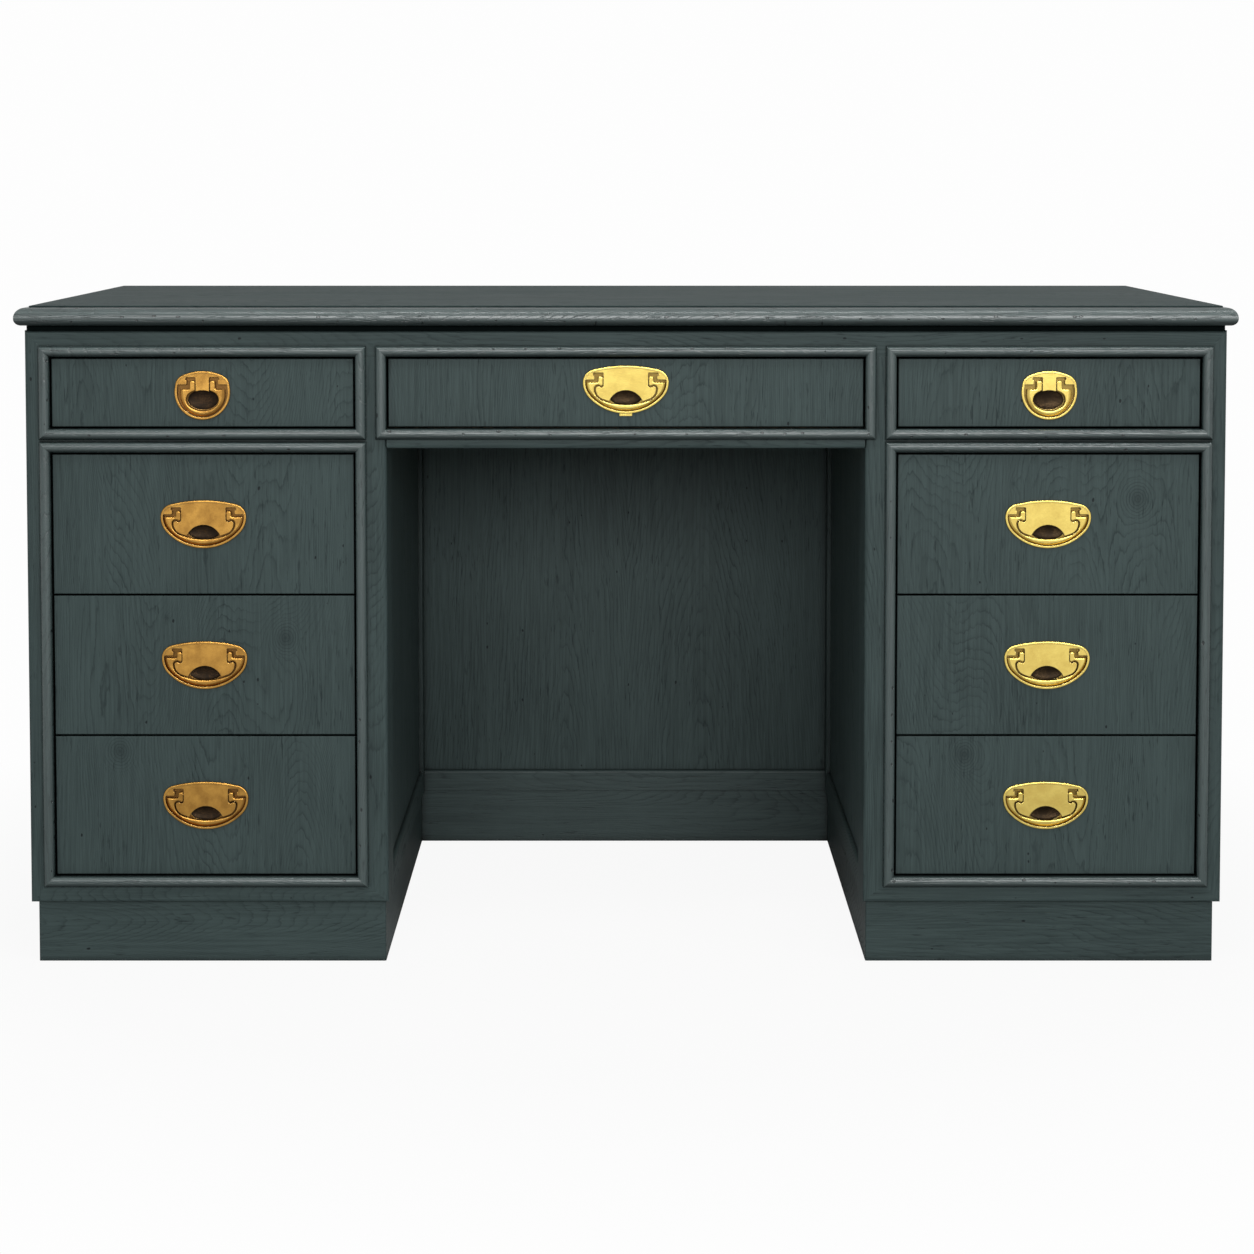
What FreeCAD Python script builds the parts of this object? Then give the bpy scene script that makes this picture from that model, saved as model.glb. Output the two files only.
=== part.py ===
import FreeCAD, Part
import math
import os
import re
import Sketcher

# A kneehole pedestal desk with nine drawers and flush brass bail pulls.
# Millimetres. The floor is z = 0, the front faces -Y, +X is to the right of the sitter's view.

# Driving dimensions, in millimetres
SIZES = {
    # whole desk
    "desk_width": 1396.4,
    "desk_depth": 660.0,
    "desk_height": 762.0,
    # top: a panel that stands a step above the moulding round its edge
    "top_thickness": 22.5,
    "top_step": 2.0,
    "top_edge_ease": 1.0,
    "top_moulding_width": 15.0,
    "top_upper_round": 11.5,
    "top_lower_round": 8.0,
    "top_overhang": 13.3,
    "top_side_overhang": 9.8,
    # spacer frame under the top
    "spacer_height": 5.8,
    "spacer_set_in": 2.3,
    "spacer_width": 60.0,
    # face frame
    "frame_thickness": 20.0,
    "frame_round": 4.0,
    "top_rail": 30.2,
    "bottom_rail": 30.7,
    "outer_stile": 28.2,
    "inner_stile": 35.7,
    "apron_rail": 22.7,
    # bead moulding round each opening
    "bead_width": 12.5,
    "bead_height": 7.0,
    "bead_round": 5.6,
    "bead_gap": 2.4,
    # openings
    "pedestal_opening": 350.1,
    "upper_opening": 82.6,
    # plinth
    "plinth_height": 70.8,
    "plinth_board": 20.0,
    "plinth_ease": 2.0,
    "plinth_front_set": 8.0,
    "plinth_side_set": 7.3,
    "plinth_knee_set": 3.8,
    "knee_plinth_set": 2.0,
    # framed panels of the sides and backs
    "panel_stile": 50.0,
    "panel_high_rail": 62.0,
    "modesty_low_height": 28.0,
    "panel_recess": 5.0,
    "panel_tongue": 8.0,
    # pedestal floor
    "floor_thickness": 16.0,
    # drawers
    "drawer_gap": 2.0,
    "front_thickness": 20.0,
    "front_set_back": 1.0,
    "front_ease": 1.2,
    "box_depth": 540.0,
    "box_inset": 1.2,
    "box_lift": 6.0,
    "box_drop": 9.0,
    "box_board": 12.0,
    "drawer_bottom": 5.0,
    "drawer_bottom_lift": 8.0,
    "drawer_bottom_groove": 6.0,
    "tail_length": 12.0,
    "tail_flare": 2.4,
    # runners in the grooves of the drawer sides
    "runner_groove_depth": 6.0,
    "runner_groove_height": 16.0,
    "runner_groove_stop": 30.0,
    "runner_play": 0.6,
    # parts that both pulls share
    "plate_flange": 2.0,
    "plate_round": 1.0,
    "plate_lip": 1.0,
    "plate_tub_depth": 9.8,
    "plate_field_depth": 0.5,
    "rim_width": 2.6,
    "recess_depth": 5.5,
    "cup_depth": 3.0,
    "mortise_play": 0.2,
    "bail_front": 1.7,
    "bail_thickness": 4.6,
    "bail_round": 1.3,
    "bail_slope_width": 3.4,
    "bail_slope_fall": 2.0,
    "knuckle_round": 2.0,
    "knuckle_top_round": 2.4,
    "recess_corner_round": 1.5,
    "beak_round": 0.6,
    "tongue_corner_round": 3.0,
    "pin_radius": 1.25,
    "pin_bore_radius": 1.3,
    "pin_length": 3.4,
    "pin_bore_depth": 3.8,
    # large pull, measured from the middle of its plate
    "large_plate_half_width": 49.2,
    "large_plate_widest": 8.4,
    "large_plate_above": 19.25,
    "large_plate_below": 36.1,
    "large_plate_upper_round": 15.0,
    "large_plate_lower_round": 26.0,
    "large_step_top": 11.5,
    "large_beak_reach": 36.0,
    "large_beak_top": 15.9,
    "large_notch_reach": 37.6,
    "large_notch_top": 19.6,
    "large_tongue_reach": 25.5,
    "large_arch_top": -0.6,
    "large_pin_height": 12.5,
    "large_knuckle_inner": 26.1,
    "large_knuckle_outer": 31.8,
    "large_knuckle_top": 15.3,
    "large_bail_side_play": 0.4,
    "large_bail_low_play": 0.4,
    "large_neck_radius": 4.4,
    "large_loop_half_width": 36.2,
    "large_loop_middle": 0.8,
    "large_loop_below": 18.3,
    "large_loop_round": 14.0,
    "large_loop_gap": 1.8,
    "large_cusp_reach": 19.3,
    "large_cup_half_width": 18.6,
    "large_cup_half_height": 9.0,
    "large_cup_middle": -9.6,
    # small pull, measured from the middle of its plate
    "small_plate_half_width": 31.2,
    "small_plate_widest": 10.5,
    "small_plate_above": 17.6,
    "small_plate_below": 38.5,
    "small_plate_upper_round": 13.5,
    "small_step_top": 12.6,
    "small_beak_reach": 18.0,
    "small_beak_top": 17.6,
    "small_notch_reach": 19.3,
    "small_notch_top": 21.0,
    "small_tongue_reach": 7.6,
    "small_pin_height": 13.8,
    "small_knuckle_inner": 8.3,
    "small_knuckle_outer": 14.6,
    "small_knuckle_top": 17.0,
    "small_shoulder": 7.0,
    "small_bail_side_play": 3.6,
    "small_bail_low_play": 1.2,
    "small_loop_half_width": 18.4,
    "small_loop_middle": -5.2,
    "small_loop_above": 12.0,
    "small_loop_below": 12.6,
    "small_loop_round": 9.5,
    "small_loop_gap": 0.8,
    "small_cup_half_width": 17.6,
    "small_cup_half_height": 11.6,
    "small_cup_middle": -5.2,
    # places of the pulls on their fronts
    "small_pull_drop": 3.0,
    "centre_pull_lift": 3.7,
    # brass lip under the centre pull
    "lip_width": 14.5,
    "lip_height": 2.7,
    "lip_thickness": 1.0,
    "lip_overrun": 2.0,
}

# Shares and counts
TAIL_SHARE = 0.62
OUTER_EDGE_SHARE = 0.95
LOWER_DRAWERS = 3
SMALL_BOX_TAILS = 2
LARGE_BOX_TAILS = 4

FORWARD = FreeCAD.Vector(0, -1, 0)
RIGHT = FreeCAD.Vector(1, 0, 0)
BACK = FreeCAD.Vector(0, 1, 0)
UP = FreeCAD.Vector(0, 0, 1)
SMALL = 1e-4

document = FreeCAD.newDocument("PedestalDesk")
sizes = document.addObject("Spreadsheet::Sheet", "Sizes")
places = document.addObject("Spreadsheet::Sheet", "Places")
place_names = []
nodes = []


# Sheets and formulas

def linked(formula, own_sheet=None):
    """A formula in plain names, with each name tied to the sheet that holds it."""
    def with_sheet(match):
        word = match.group()
        if word in SIZES:
            return "Sizes." + word
        if word in place_names and own_sheet != "Places":
            return "Places." + word
        return word
    return re.sub(r"[a-z][a-z_]*", with_sheet, formula)


def fill_sizes():
    for row, (alias, value) in enumerate(SIZES.items(), start=1):
        sizes.set(f"A{row}", alias)
        sizes.set(f"B{row}", str(value))
        sizes.setAlias(f"B{row}", alias)
    sizes.recompute()


def place(alias, formula):
    """A worked-out size or position, kept in its own sheet."""
    place_names.append(alias)
    row = len(place_names)
    places.set(f"A{row}", alias)
    places.set(f"B{row}", "=" + linked(formula, "Places"))
    places.setAlias(f"B{row}", alias)
    places.recompute()


def number(formula):
    return float(sizes.evalExpression(linked(formula)))


def bind(thing, name, formula):
    thing.setExpression(name, linked(formula))


def bind_base(thing, x, y, z):
    for axis, formula in zip("xyz", (x, y, z)):
        bind(thing, "Placement.Base." + axis, formula)


def minus(formula):
    return f"-({formula})"


def mirrored(span, side):
    """A span of x, on the right as given or turned over to the left."""
    low, high = span
    if side == "right":
        return span
    return minus(high), minus(low)


fill_sizes()
place("half_width", "desk_width / 2 - top_side_overhang")
place("half_depth", "desk_depth / 2 - top_overhang")
place("carcass_top", "desk_height - top_thickness - spacer_height")
place("rail_bottom", "carcass_top - top_rail")
place("frame_back", "frame_thickness - half_depth")
place("back_front", "half_depth - frame_thickness")
place("opening_outer", "half_width - outer_stile")
place("opening_inner", "opening_outer - pedestal_opening")
place("knee_half", "opening_inner - inner_stile")
place("upper_bottom", "rail_bottom - upper_opening")
place("lower_top", "upper_bottom - 2 * bead_width - bead_gap")
place("lower_bottom", "plinth_height + bottom_rail")
place("apron_bottom", "upper_bottom - apron_rail")
place("front_face", "front_set_back - half_depth")
place("front_back", "front_face + front_thickness")
place("box_back", "front_back + box_depth")
place("runner_start", "front_back + runner_groove_stop + runner_play")
place("bail_back", "bail_front - bail_thickness")
place("pin_depth", "bail_front - bail_thickness / 2")


# Pieces and how they are shaped

def board(name, x, y, z):
    """A plain sawn board between three spans."""
    box = document.addObject("Part::Box", name)
    for side, (low, high) in zip(("Length", "Width", "Height"), (x, y, z)):
        bind(box, side, f"({high}) - ({low})")
    bind_base(box, x[0], y[0], z[0])
    return box


def cut(name, base, *tools):
    """A piece with its neighbours' shapes taken out of it."""
    tool = tools[0]
    if len(tools) > 1:
        tool = document.addObject("Part::MultiFuse", name + "_tools")
        tool.Shapes = list(tools)
    result = document.addObject("Part::Cut", name)
    result.Base = base
    result.Tool = tool
    return result


def node(label, *pieces):
    """One named sub-part: a single piece, or several separate pieces that belong together."""
    thing = pieces[0]
    if len(pieces) > 1:
        thing = document.addObject("Part::Compound", label)
        thing.Links = list(pieces)
    thing.Label = label
    nodes.append(thing)
    return thing


def new_body(name):
    return document.addObject("PartDesign::Body", name)


def origin_plane(body, role):
    return next(feature for feature in body.Origin.OriginFeatures if feature.Role == role)


def chosen_edges(base, is_chosen, run=None):
    """Names of a feature's edges whose ends all pass a test, or only of the ones along a run."""
    document.recompute([base])
    names = []
    for index, edge in enumerate(base.Shape.Edges, start=1):
        ends = [vertex.Point for vertex in edge.Vertexes]
        in_line = run is None or (ends[-1] - ends[0]).cross(run).Length < SMALL
        if in_line and all(is_chosen(spot) for spot in ends):
            names.append(f"Edge{index}")
    return names


def round_edges(body, base, radius, is_chosen, run=None):
    """Round over the chosen edges of a feature."""
    fillet = body.newObject("PartDesign::Fillet", body.Name + "_round")
    fillet.Base = (base, chosen_edges(base, is_chosen, run))
    bind(fillet, "Radius", radius)
    body.Tip = fillet
    return fillet


def slope_edges(body, base, width, fall, is_chosen):
    """Cut a slope along the chosen edges of a feature's front face: its width there, and its fall."""
    names = chosen_edges(base, is_chosen)
    first_face = base.Shape.ancestorsOfType(base.Shape.getElement(names[0]), Part.Face)[0]
    front_first = first_face.normalAt(0, 0).cross(UP).Length < SMALL
    slope = body.newObject("PartDesign::Chamfer", body.Name + "_slope")
    slope.Base = (base, names)
    slope.ChamferType = "Two distances"
    slope.FlipDirection = not front_first
    bind(slope, "Size", width)
    bind(slope, "Size2", fall)
    body.Tip = slope
    return slope


def eased_board(name, x, y, z, radius, is_chosen, run=None):
    """A board with some of its edges rounded over; the test sees its own corner as zero."""
    body = new_body(name)
    box = body.newObject("PartDesign::AdditiveBox", name + "_block")
    for side, (low, high) in zip(("Length", "Width", "Height"), (x, y, z)):
        bind(box, side, f"({high}) - ({low})")
    bind_base(body, x[0], y[0], z[0])
    round_edges(body, box, radius, is_chosen, run)
    return body


def arc_middle(start, end, radius, turn):
    """The point halfway along an arc that turns left (1) or right (-1) from start to end."""
    chord = end - start
    middle = start + chord / 2
    rise = max(radius ** 2 - (chord.Length / 2) ** 2, 0.0) ** 0.5
    left = UP.cross(chord).normalize()
    centre = middle + left * (rise * turn)
    return centre - left * (radius * turn)


def outline_sketch(body, name, corners, lift="0"):
    """A closed outline on the body's XY plane, lifted along its normal.

    Each corner is (x, y) or (x, y, radius, turn): the side that arrives at it is straight,
    or an arc that turns left (1) or right (-1).
    """
    sketch = body.newObject("Sketcher::SketchObject", name)
    sketch.AttachmentSupport = [(origin_plane(body, "XY_Plane"), "")]
    sketch.MapMode = "FlatFace"
    if lift != "0":
        bind(sketch, "AttachmentOffset.Base.z", lift)
    spots = [FreeCAD.Vector(number(corner[0]), number(corner[1]), 0) for corner in corners]
    sides = []
    first_ends = []
    last_ends = []
    for index, corner in enumerate(corners):
        start, end = spots[index - 1], spots[index]
        if len(corner) == 2:
            sides.append(Part.LineSegment(start, end))
            turn = 1
        else:
            radius, turn = number(corner[2]), corner[3]
            sides.append(Part.Arc(start, arc_middle(start, end, radius, turn), end))
        first_ends.append(1 if turn == 1 else 2)
        last_ends.append(2 if turn == 1 else 1)
    sketch.addGeometry(sides, False)
    constraints = []
    formulas = []
    count = len(corners)
    for index, corner in enumerate(corners):
        after = (index + 1) % count
        end = last_ends[index]
        constraints.append(Sketcher.Constraint("Coincident", index, end, after, first_ends[after]))
        formulas.append(None)
        for kind, axis, formula, value in (
            ("DistanceX", -2, corner[0], spots[index].x),
            ("DistanceY", -1, corner[1], spots[index].y),
        ):
            if formula == "0":
                constraints.append(Sketcher.Constraint("PointOnObject", index, end, axis))
                formulas.append(None)
            else:
                constraints.append(Sketcher.Constraint(kind, -1, 1, index, end, value))
                formulas.append(formula)
        if len(corner) == 4:
            constraints.append(Sketcher.Constraint("Radius", index, number(corner[2])))
            formulas.append(corner[2])
    sketch.addConstraint(constraints)
    for index, formula in enumerate(formulas):
        if formula is not None:
            bind(sketch, f"Constraints[{index}]", formula)
    return sketch


def pad(body, name, sketch, length, backwards=False):
    feature = body.newObject("PartDesign::Pad", name)
    feature.Profile = sketch
    bind(feature, "Length", length)
    feature.Reversed = backwards
    return feature


def pocket(body, name, sketch, length):
    feature = body.newObject("PartDesign::Pocket", name)
    feature.Profile = sketch
    bind(feature, "Length", length)
    return feature


# A mitred bar lies along one side of a rectangle. Turn 0 is the bottom (or front) side,
# then anticlockwise. Its outer edge is y = 0 and its show face is z = depth in its own frame.

def bar_axes(turn, standing):
    across, up = RIGHT, UP if standing else BACK
    for quarter in range(turn):
        across, up = up, across * -1
    return across, up, across.cross(up)


def mitred_bar(name, turn, standing, corner, length, width, depth, mitres=("0", "0"), rounds=()):
    """One moulding or frame member with its ends cut back by the two mitres."""
    start, end = mitres
    far_end = length if end == "0" else f"({length}) - ({end})"
    body = new_body(name)
    outline = [("0", "0"), (length, "0"), (far_end, width), (start, width)]
    feature = pad(body, name + "_run", outline_sketch(body, name + "_outline", outline), depth)
    body.Tip = feature
    edges = {
        "outer": ("0", depth),
        "inner": (width, depth),
        "under": ("0", "0"),
    }
    for edge, radius in rounds:
        y, z = (number(formula) for formula in edges[edge])
        feature = round_edges(
            body, feature, radius,
            lambda spot, y=y, z=z: abs(spot.y - y) < SMALL and abs(spot.z - z) < SMALL)
    body.Placement = FreeCAD.Placement(FreeCAD.Vector(), FreeCAD.Rotation(*bar_axes(turn, standing), "XYZ"))
    bind_base(body, *corner)
    return body


def mitred_frame(name, standing, x, other, base, width, depth, rounds=()):
    """Four mitred bars round a rectangle of x by z (standing) or x by y (lying)."""
    low, high = other
    wide = f"({x[1]}) - ({x[0]})"
    tall = f"({high}) - ({low})"
    corners = ((x[0], low), (x[1], low), (x[1], high), (x[0], high))
    sides = ("near", "right", "far", "left")
    bars = []
    for turn, (side, (across, up)) in enumerate(zip(sides, corners)):
        corner = (across, base, up) if standing else (across, up, base)
        length = wide if turn % 2 == 0 else tall
        bars.append(mitred_bar(
            f"{name}_{side}", turn, standing, corner, length, width, depth, (width, width), rounds))
    return bars


def framed_panel(label, sideways, along, thick, up, low_rail):
    """Two stiles and two rails, eased towards the field, with a thinner panel in their grooves."""
    def lay(name, along_span, thick_span, up_span, is_eased=None):
        spans = (along_span, thick_span, up_span)
        if sideways:
            spans = (thick_span, along_span, up_span)
        if is_eased is None:
            return board(name, *spans)
        return eased_board(name, *spans, "frame_round", is_eased, BACK if sideways else RIGHT)

    inner = (f"{along[0]} + panel_stile", f"{along[1]} - panel_stile")
    field = (f"{up[0]} + {low_rail}", f"{up[1]} - panel_high_rail")
    panel = lay(
        label + "_panel",
        (f"{inner[0]} - panel_tongue", f"{inner[1]} + panel_tongue"),
        (f"{thick[0]} + panel_recess", f"{thick[1]} - panel_recess"),
        (f"{field[0]} - panel_tongue", f"{field[1]} + panel_tongue"))
    members = [
        lay(label + "_stile_a", (along[0], inner[0]), thick, up),
        lay(label + "_stile_b", (inner[1], along[1]), thick, up),
        lay(label + "_rail_low", inner, thick, (up[0], field[0]), lambda spot: spot.z > SMALL),
        lay(label + "_rail_high", inner, thick, (field[1], up[1]), lambda spot: spot.z < SMALL),
    ]
    grooved = [cut(member.Name + "_grooved", member, panel) for member in members]
    return node(label, panel, *grooved)


def copy_of(name, master):
    """A body that repeats a master body's shape at a place of its own."""
    body = new_body(name)
    base = body.newObject("PartDesign::FeatureBase", name + "_base")
    base.BaseFeature = master
    body.Tip = base
    return body


# Desk top, its moulding and the spacer frame

top_panel_x = ("top_moulding_width - desk_width / 2", "desk_width / 2 - top_moulding_width")
top_panel_y = ("top_moulding_width - desk_depth / 2", "desk_depth / 2 - top_moulding_width")
top_bottom = "desk_height - top_thickness"

node("desk_top", eased_board(
    "desk_top", top_panel_x, top_panel_y, (top_bottom, "desk_height"), "top_edge_ease",
    lambda spot: abs(spot.z - number("top_thickness")) < SMALL))
node("top_moulding", *mitred_frame(
    "top_moulding", False, ("-desk_width / 2", "desk_width / 2"), ("-desk_depth / 2", "desk_depth / 2"),
    top_bottom, "top_moulding_width", "top_thickness - top_step",
    (("outer", "top_upper_round"), ("under", "top_lower_round"))))
node("top_spacer", *mitred_frame(
    "top_spacer", False,
    ("spacer_set_in - half_width", "half_width - spacer_set_in"),
    ("spacer_set_in - half_depth", "half_depth - spacer_set_in"),
    "carcass_top", "spacer_width", "spacer_height"))

# Face frame

outer_round = (("outer", "frame_round"),)
node("front_top_rail", mitred_bar(
    "front_top_rail", 2, True, ("half_width", "frame_back", "carcass_top"),
    "2 * half_width", "top_rail", "frame_thickness", ("outer_stile", "outer_stile"), outer_round))
node("apron_rail", mitred_bar(
    "apron_rail", 0, True, ("-knee_half", "frame_back", "apron_bottom"),
    "2 * knee_half", "apron_rail", "frame_thickness", rounds=outer_round))

frame_y = ("-half_depth", "frame_back")
for side in ("left", "right"):
    name = side + "_face_frame"
    on_right = side == "right"
    outer_x = "half_width" if on_right else "-half_width"
    inner_x = "knee_half" if on_right else "-knee_half"
    rail_x = mirrored(("knee_half", "half_width"), side)
    outer_mitres = ("bottom_rail", "top_rail")
    inner_mitres = ("0", "bottom_rail")
    rail_mitres = ("inner_stile", "outer_stile")
    if not on_right:
        outer_mitres, inner_mitres, rail_mitres = outer_mitres[::-1], inner_mitres[::-1], rail_mitres[::-1]
    outer = mitred_bar(
        name + "_outer_stile", 1 if on_right else 3, True,
        (outer_x, "frame_back", "plinth_height" if on_right else "carcass_top"),
        "carcass_top - plinth_height", "outer_stile", "frame_thickness", outer_mitres, outer_round)
    inner = mitred_bar(
        name + "_inner_stile", 3 if on_right else 1, True,
        (inner_x, "frame_back", "rail_bottom" if on_right else "plinth_height"),
        "rail_bottom - plinth_height", "inner_stile", "frame_thickness", inner_mitres, outer_round)
    rail = mitred_bar(
        name + "_bottom_rail", 0, True, (rail_x[0], "frame_back", "plinth_height"),
        "half_width - knee_half", "bottom_rail", "frame_thickness", rail_mitres, outer_round)
    mid_rail = board(
        name + "_mid_rail", mirrored(("opening_inner", "opening_outer"), side), frame_y,
        ("lower_top", "upper_bottom"))
    node(name, outer, inner, rail, mid_rail)

# Bead mouldings, mitred round each opening

def bead_frame(name, x, z):
    return mitred_frame(
        name, True,
        (f"{x[0]} - bead_width", f"{x[1]} + bead_width"),
        (f"{z[0]} - bead_width", f"{z[1]} + bead_width"),
        "-half_depth", "bead_width", "bead_height",
        (("outer", "bead_round"), ("inner", "bead_round")))


for side in ("left", "right"):
    opening = mirrored(("opening_inner", "opening_outer"), side)
    node(
        side + "_beads",
        *bead_frame(side + "_upper_bead", opening, ("upper_bottom", "rail_bottom")),
        *bead_frame(side + "_lower_bead", opening, ("lower_bottom", "lower_top")))
node("centre_bead", *bead_frame("centre_bead", ("-knee_half", "knee_half"), ("upper_bottom", "rail_bottom")))

# Sides, backs, floors and plinths

def plinth_boards(name, x, y):
    """Boards across the front and back with their corners eased, and side boards between them."""
    z = ("0", "plinth_height")
    inner_y = (f"{y[0]} + plinth_board", f"{y[1]} - plinth_board")
    front = eased_board(
        name + "_front", x, (y[0], inner_y[0]), z, "plinth_ease", lambda spot: spot.y < SMALL, UP)
    back = eased_board(
        name + "_back", x, (inner_y[1], y[1]), z, "plinth_ease", lambda spot: spot.y > SMALL, UP)
    ends = (("left", (x[0], f"{x[0]} + plinth_board")), ("right", (f"{x[1]} - plinth_board", x[1])))
    return [front, back] + [board(f"{name}_{hand}", span, inner_y, z) for hand, span in ends]


carcass_z = ("plinth_height", "carcass_top")
side_y = ("frame_back", "half_depth")
back_y = ("back_front", "half_depth")
for side in ("left", "right"):
    outer_side = mirrored(("half_width - frame_thickness", "half_width"), side)
    inner_side = mirrored(("knee_half", "knee_half + frame_thickness"), side)
    between = mirrored(("knee_half + frame_thickness", "half_width - frame_thickness"), side)
    framed_panel(side + "_outer_side", True, side_y, outer_side, carcass_z, "bottom_rail")
    framed_panel(side + "_inner_side", True, side_y, inner_side, carcass_z, "bottom_rail")
    framed_panel(side + "_back", False, between, back_y, carcass_z, "bottom_rail")
    node(side + "_plinth", *plinth_boards(
        side + "_plinth",
        mirrored(("knee_half + plinth_knee_set", "half_width - plinth_side_set"), side),
        ("plinth_front_set - half_depth", "half_depth - plinth_front_set")))
floors = [
    board(
        side + "_floor", mirrored(("knee_half + frame_thickness", "half_width - frame_thickness"), side),
        ("frame_back", "back_front"), ("plinth_height", "plinth_height + floor_thickness"))
    for side in ("left", "right")
]
node("pedestal_floors", *floors)

# Modesty panel and its rails at the back of the kneehole

knee_x = ("-knee_half", "knee_half")
modesty_y = ("back_front + panel_recess", "half_depth - panel_recess")
modesty_bottom = "plinth_height + modesty_low_height"
modesty_low = eased_board(
    "modesty_low_rail", knee_x, back_y, ("plinth_height", modesty_bottom), "frame_round",
    lambda spot: spot.y < SMALL and abs(spot.z - number("modesty_low_height")) < SMALL)
modesty_high = board(
    "modesty_high_rail", knee_x, back_y, ("carcass_top - panel_high_rail", "carcass_top"))
modesty = board(
    "modesty_panel", knee_x, modesty_y,
    (modesty_bottom + " - panel_tongue", "carcass_top - panel_high_rail + panel_tongue"))
node("modesty_panel", modesty)
node(
    "modesty_rails",
    cut("modesty_low_rail_grooved", modesty_low, modesty),
    cut("modesty_high_rail_grooved", modesty_high, modesty))
node("knee_plinth", board(
    "knee_plinth", ("-knee_half - plinth_knee_set", "knee_half + plinth_knee_set"),
    ("back_front + knee_plinth_set", "half_depth - plinth_front_set"), ("0", "plinth_height")))


# Flush bail pulls. Across is +X, up is +Y and out of the drawer front is +Z in their own frame.

def oval_places(name, half_width, height, side_radius):
    """A half oval of three arcs: where its side arc meets the wide arc, and the wide radius."""
    place(name + "_rise", f"((({half_width}) - ({side_radius})) ^ 2 - (({height}) - ({side_radius})) ^ 2)"
                          f" / (2 * (({height}) - ({side_radius})))")
    place(name + "_wide_radius", f"({height}) + {name}_rise")
    place(name + "_joint_share", f"{name}_wide_radius / ({name}_wide_radius - ({side_radius}))")
    place(name + "_joint_across", f"(({half_width}) - ({side_radius})) * {name}_joint_share")
    place(name + "_joint_away", f"{name}_rise * ({name}_joint_share - 1)")


def mirrored_outline(half):
    """A closed outline from its right half, which runs from the middle line back to it."""
    outline = list(half[1:])
    for index in range(len(half) - 1, 0, -1):
        x, y = half[index - 1][:2]
        outline.append((x if x == "0" else minus(x), y) + tuple(half[index][2:]))
    return outline


def lower_edge(kind, name, half_width, height, widest, side_radius):
    """Right half of a lower edge, from the bottom to the widest line: an oval, or one arc if small."""
    bottom = ("0", f"{widest} - ({height})")
    if kind == "small":
        place(name + "_radius", f"(({half_width}) ^ 2 + ({height}) ^ 2) / (2 * ({height}))")
        return [bottom, (half_width, widest, name + "_radius", 1)]
    oval_places(name, half_width, height, side_radius)
    return [
        bottom,
        (name + "_joint_across", f"{widest} - {name}_joint_away", name + "_wide_radius", 1),
        (half_width, widest, side_radius, 1),
    ]


def plate_lower_edge(kind, name, inset):
    return lower_edge(
        kind, name, f"{kind}_plate_half_width - {inset}", f"{kind}_plate_below - {inset}",
        f"{kind}_plate_widest", f"large_plate_lower_round - {inset}")


def plate_outline(kind, name, inset):
    """The whole edge of a plate, set in by an amount."""
    half_width = f"{kind}_plate_half_width - {inset}"
    height = f"{kind}_plate_above - {inset}"
    side_radius = f"{kind}_plate_upper_round - {inset}"
    below = plate_lower_edge(kind, name + "_low", inset)
    oval_places(name + "_high", half_width, height, side_radius)
    above = [
        (name + "_high_joint_across", f"{kind}_plate_widest + {name}_high_joint_away", side_radius, 1),
        ("0", f"{kind}_plate_widest + {height}", name + "_high_wide_radius", 1),
    ]
    return mirrored_outline(below + above)


def corner_places(name, side, corner_radius, centre, radius):
    """A small round corner between an upright side and a circle that it touches from outside."""
    across, up = centre
    place(name + "_corner_up",
          f"({up}) + sqrt(({radius} + {corner_radius}) ^ 2 - ({side} + {corner_radius} - ({across})) ^ 2)")
    share = f"({radius}) / ({radius} + {corner_radius})"
    place(name + "_touch_across", f"({across}) + ({side} + {corner_radius} - ({across})) * {share}")
    place(name + "_touch_up", f"({up}) + ({name}_corner_up - ({up})) * {share}")
    return [
        (side, name + "_corner_up"),
        (name + "_touch_across", name + "_touch_up", corner_radius, 1),
    ]


def loop_places(kind):
    """The bail's inner edge: its lower oval, and the circle over its arms."""
    name = kind + "_loop"
    oval_places(name, f"{name}_half_width", f"{name}_below", f"{name}_round")
    if kind == "small":
        oval_places(name + "_top", f"{name}_half_width", f"{name}_above", f"{name}_round")
        place("small_neck_across", "0")
        place("small_neck_up", "small_loop_middle - small_loop_top_rise")
        place("small_neck_radius", "small_loop_top_wide_radius")
    else:
        place("large_neck_across", "large_loop_half_width - large_neck_radius")
        place("large_neck_up", "large_loop_middle")


def neck_edge(kind):
    """Inner edge of the right arm, from the knuckle to the widest point of the loop."""
    name = kind + "_loop"
    edge = corner_places(
        kind + "_neck", f"{kind}_knuckle_inner", "knuckle_round",
        (f"{kind}_neck_across", f"{kind}_neck_up"), f"{kind}_neck_radius")
    widest = (f"{name}_half_width", f"{name}_middle")
    if kind == "small":
        edge.append((
            name + "_top_joint_across", f"{name}_middle + {name}_top_joint_away", "small_neck_radius", -1))
        return edge + [widest + (f"{name}_round", -1)]
    return edge + [widest + ("large_neck_radius", -1)]


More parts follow.
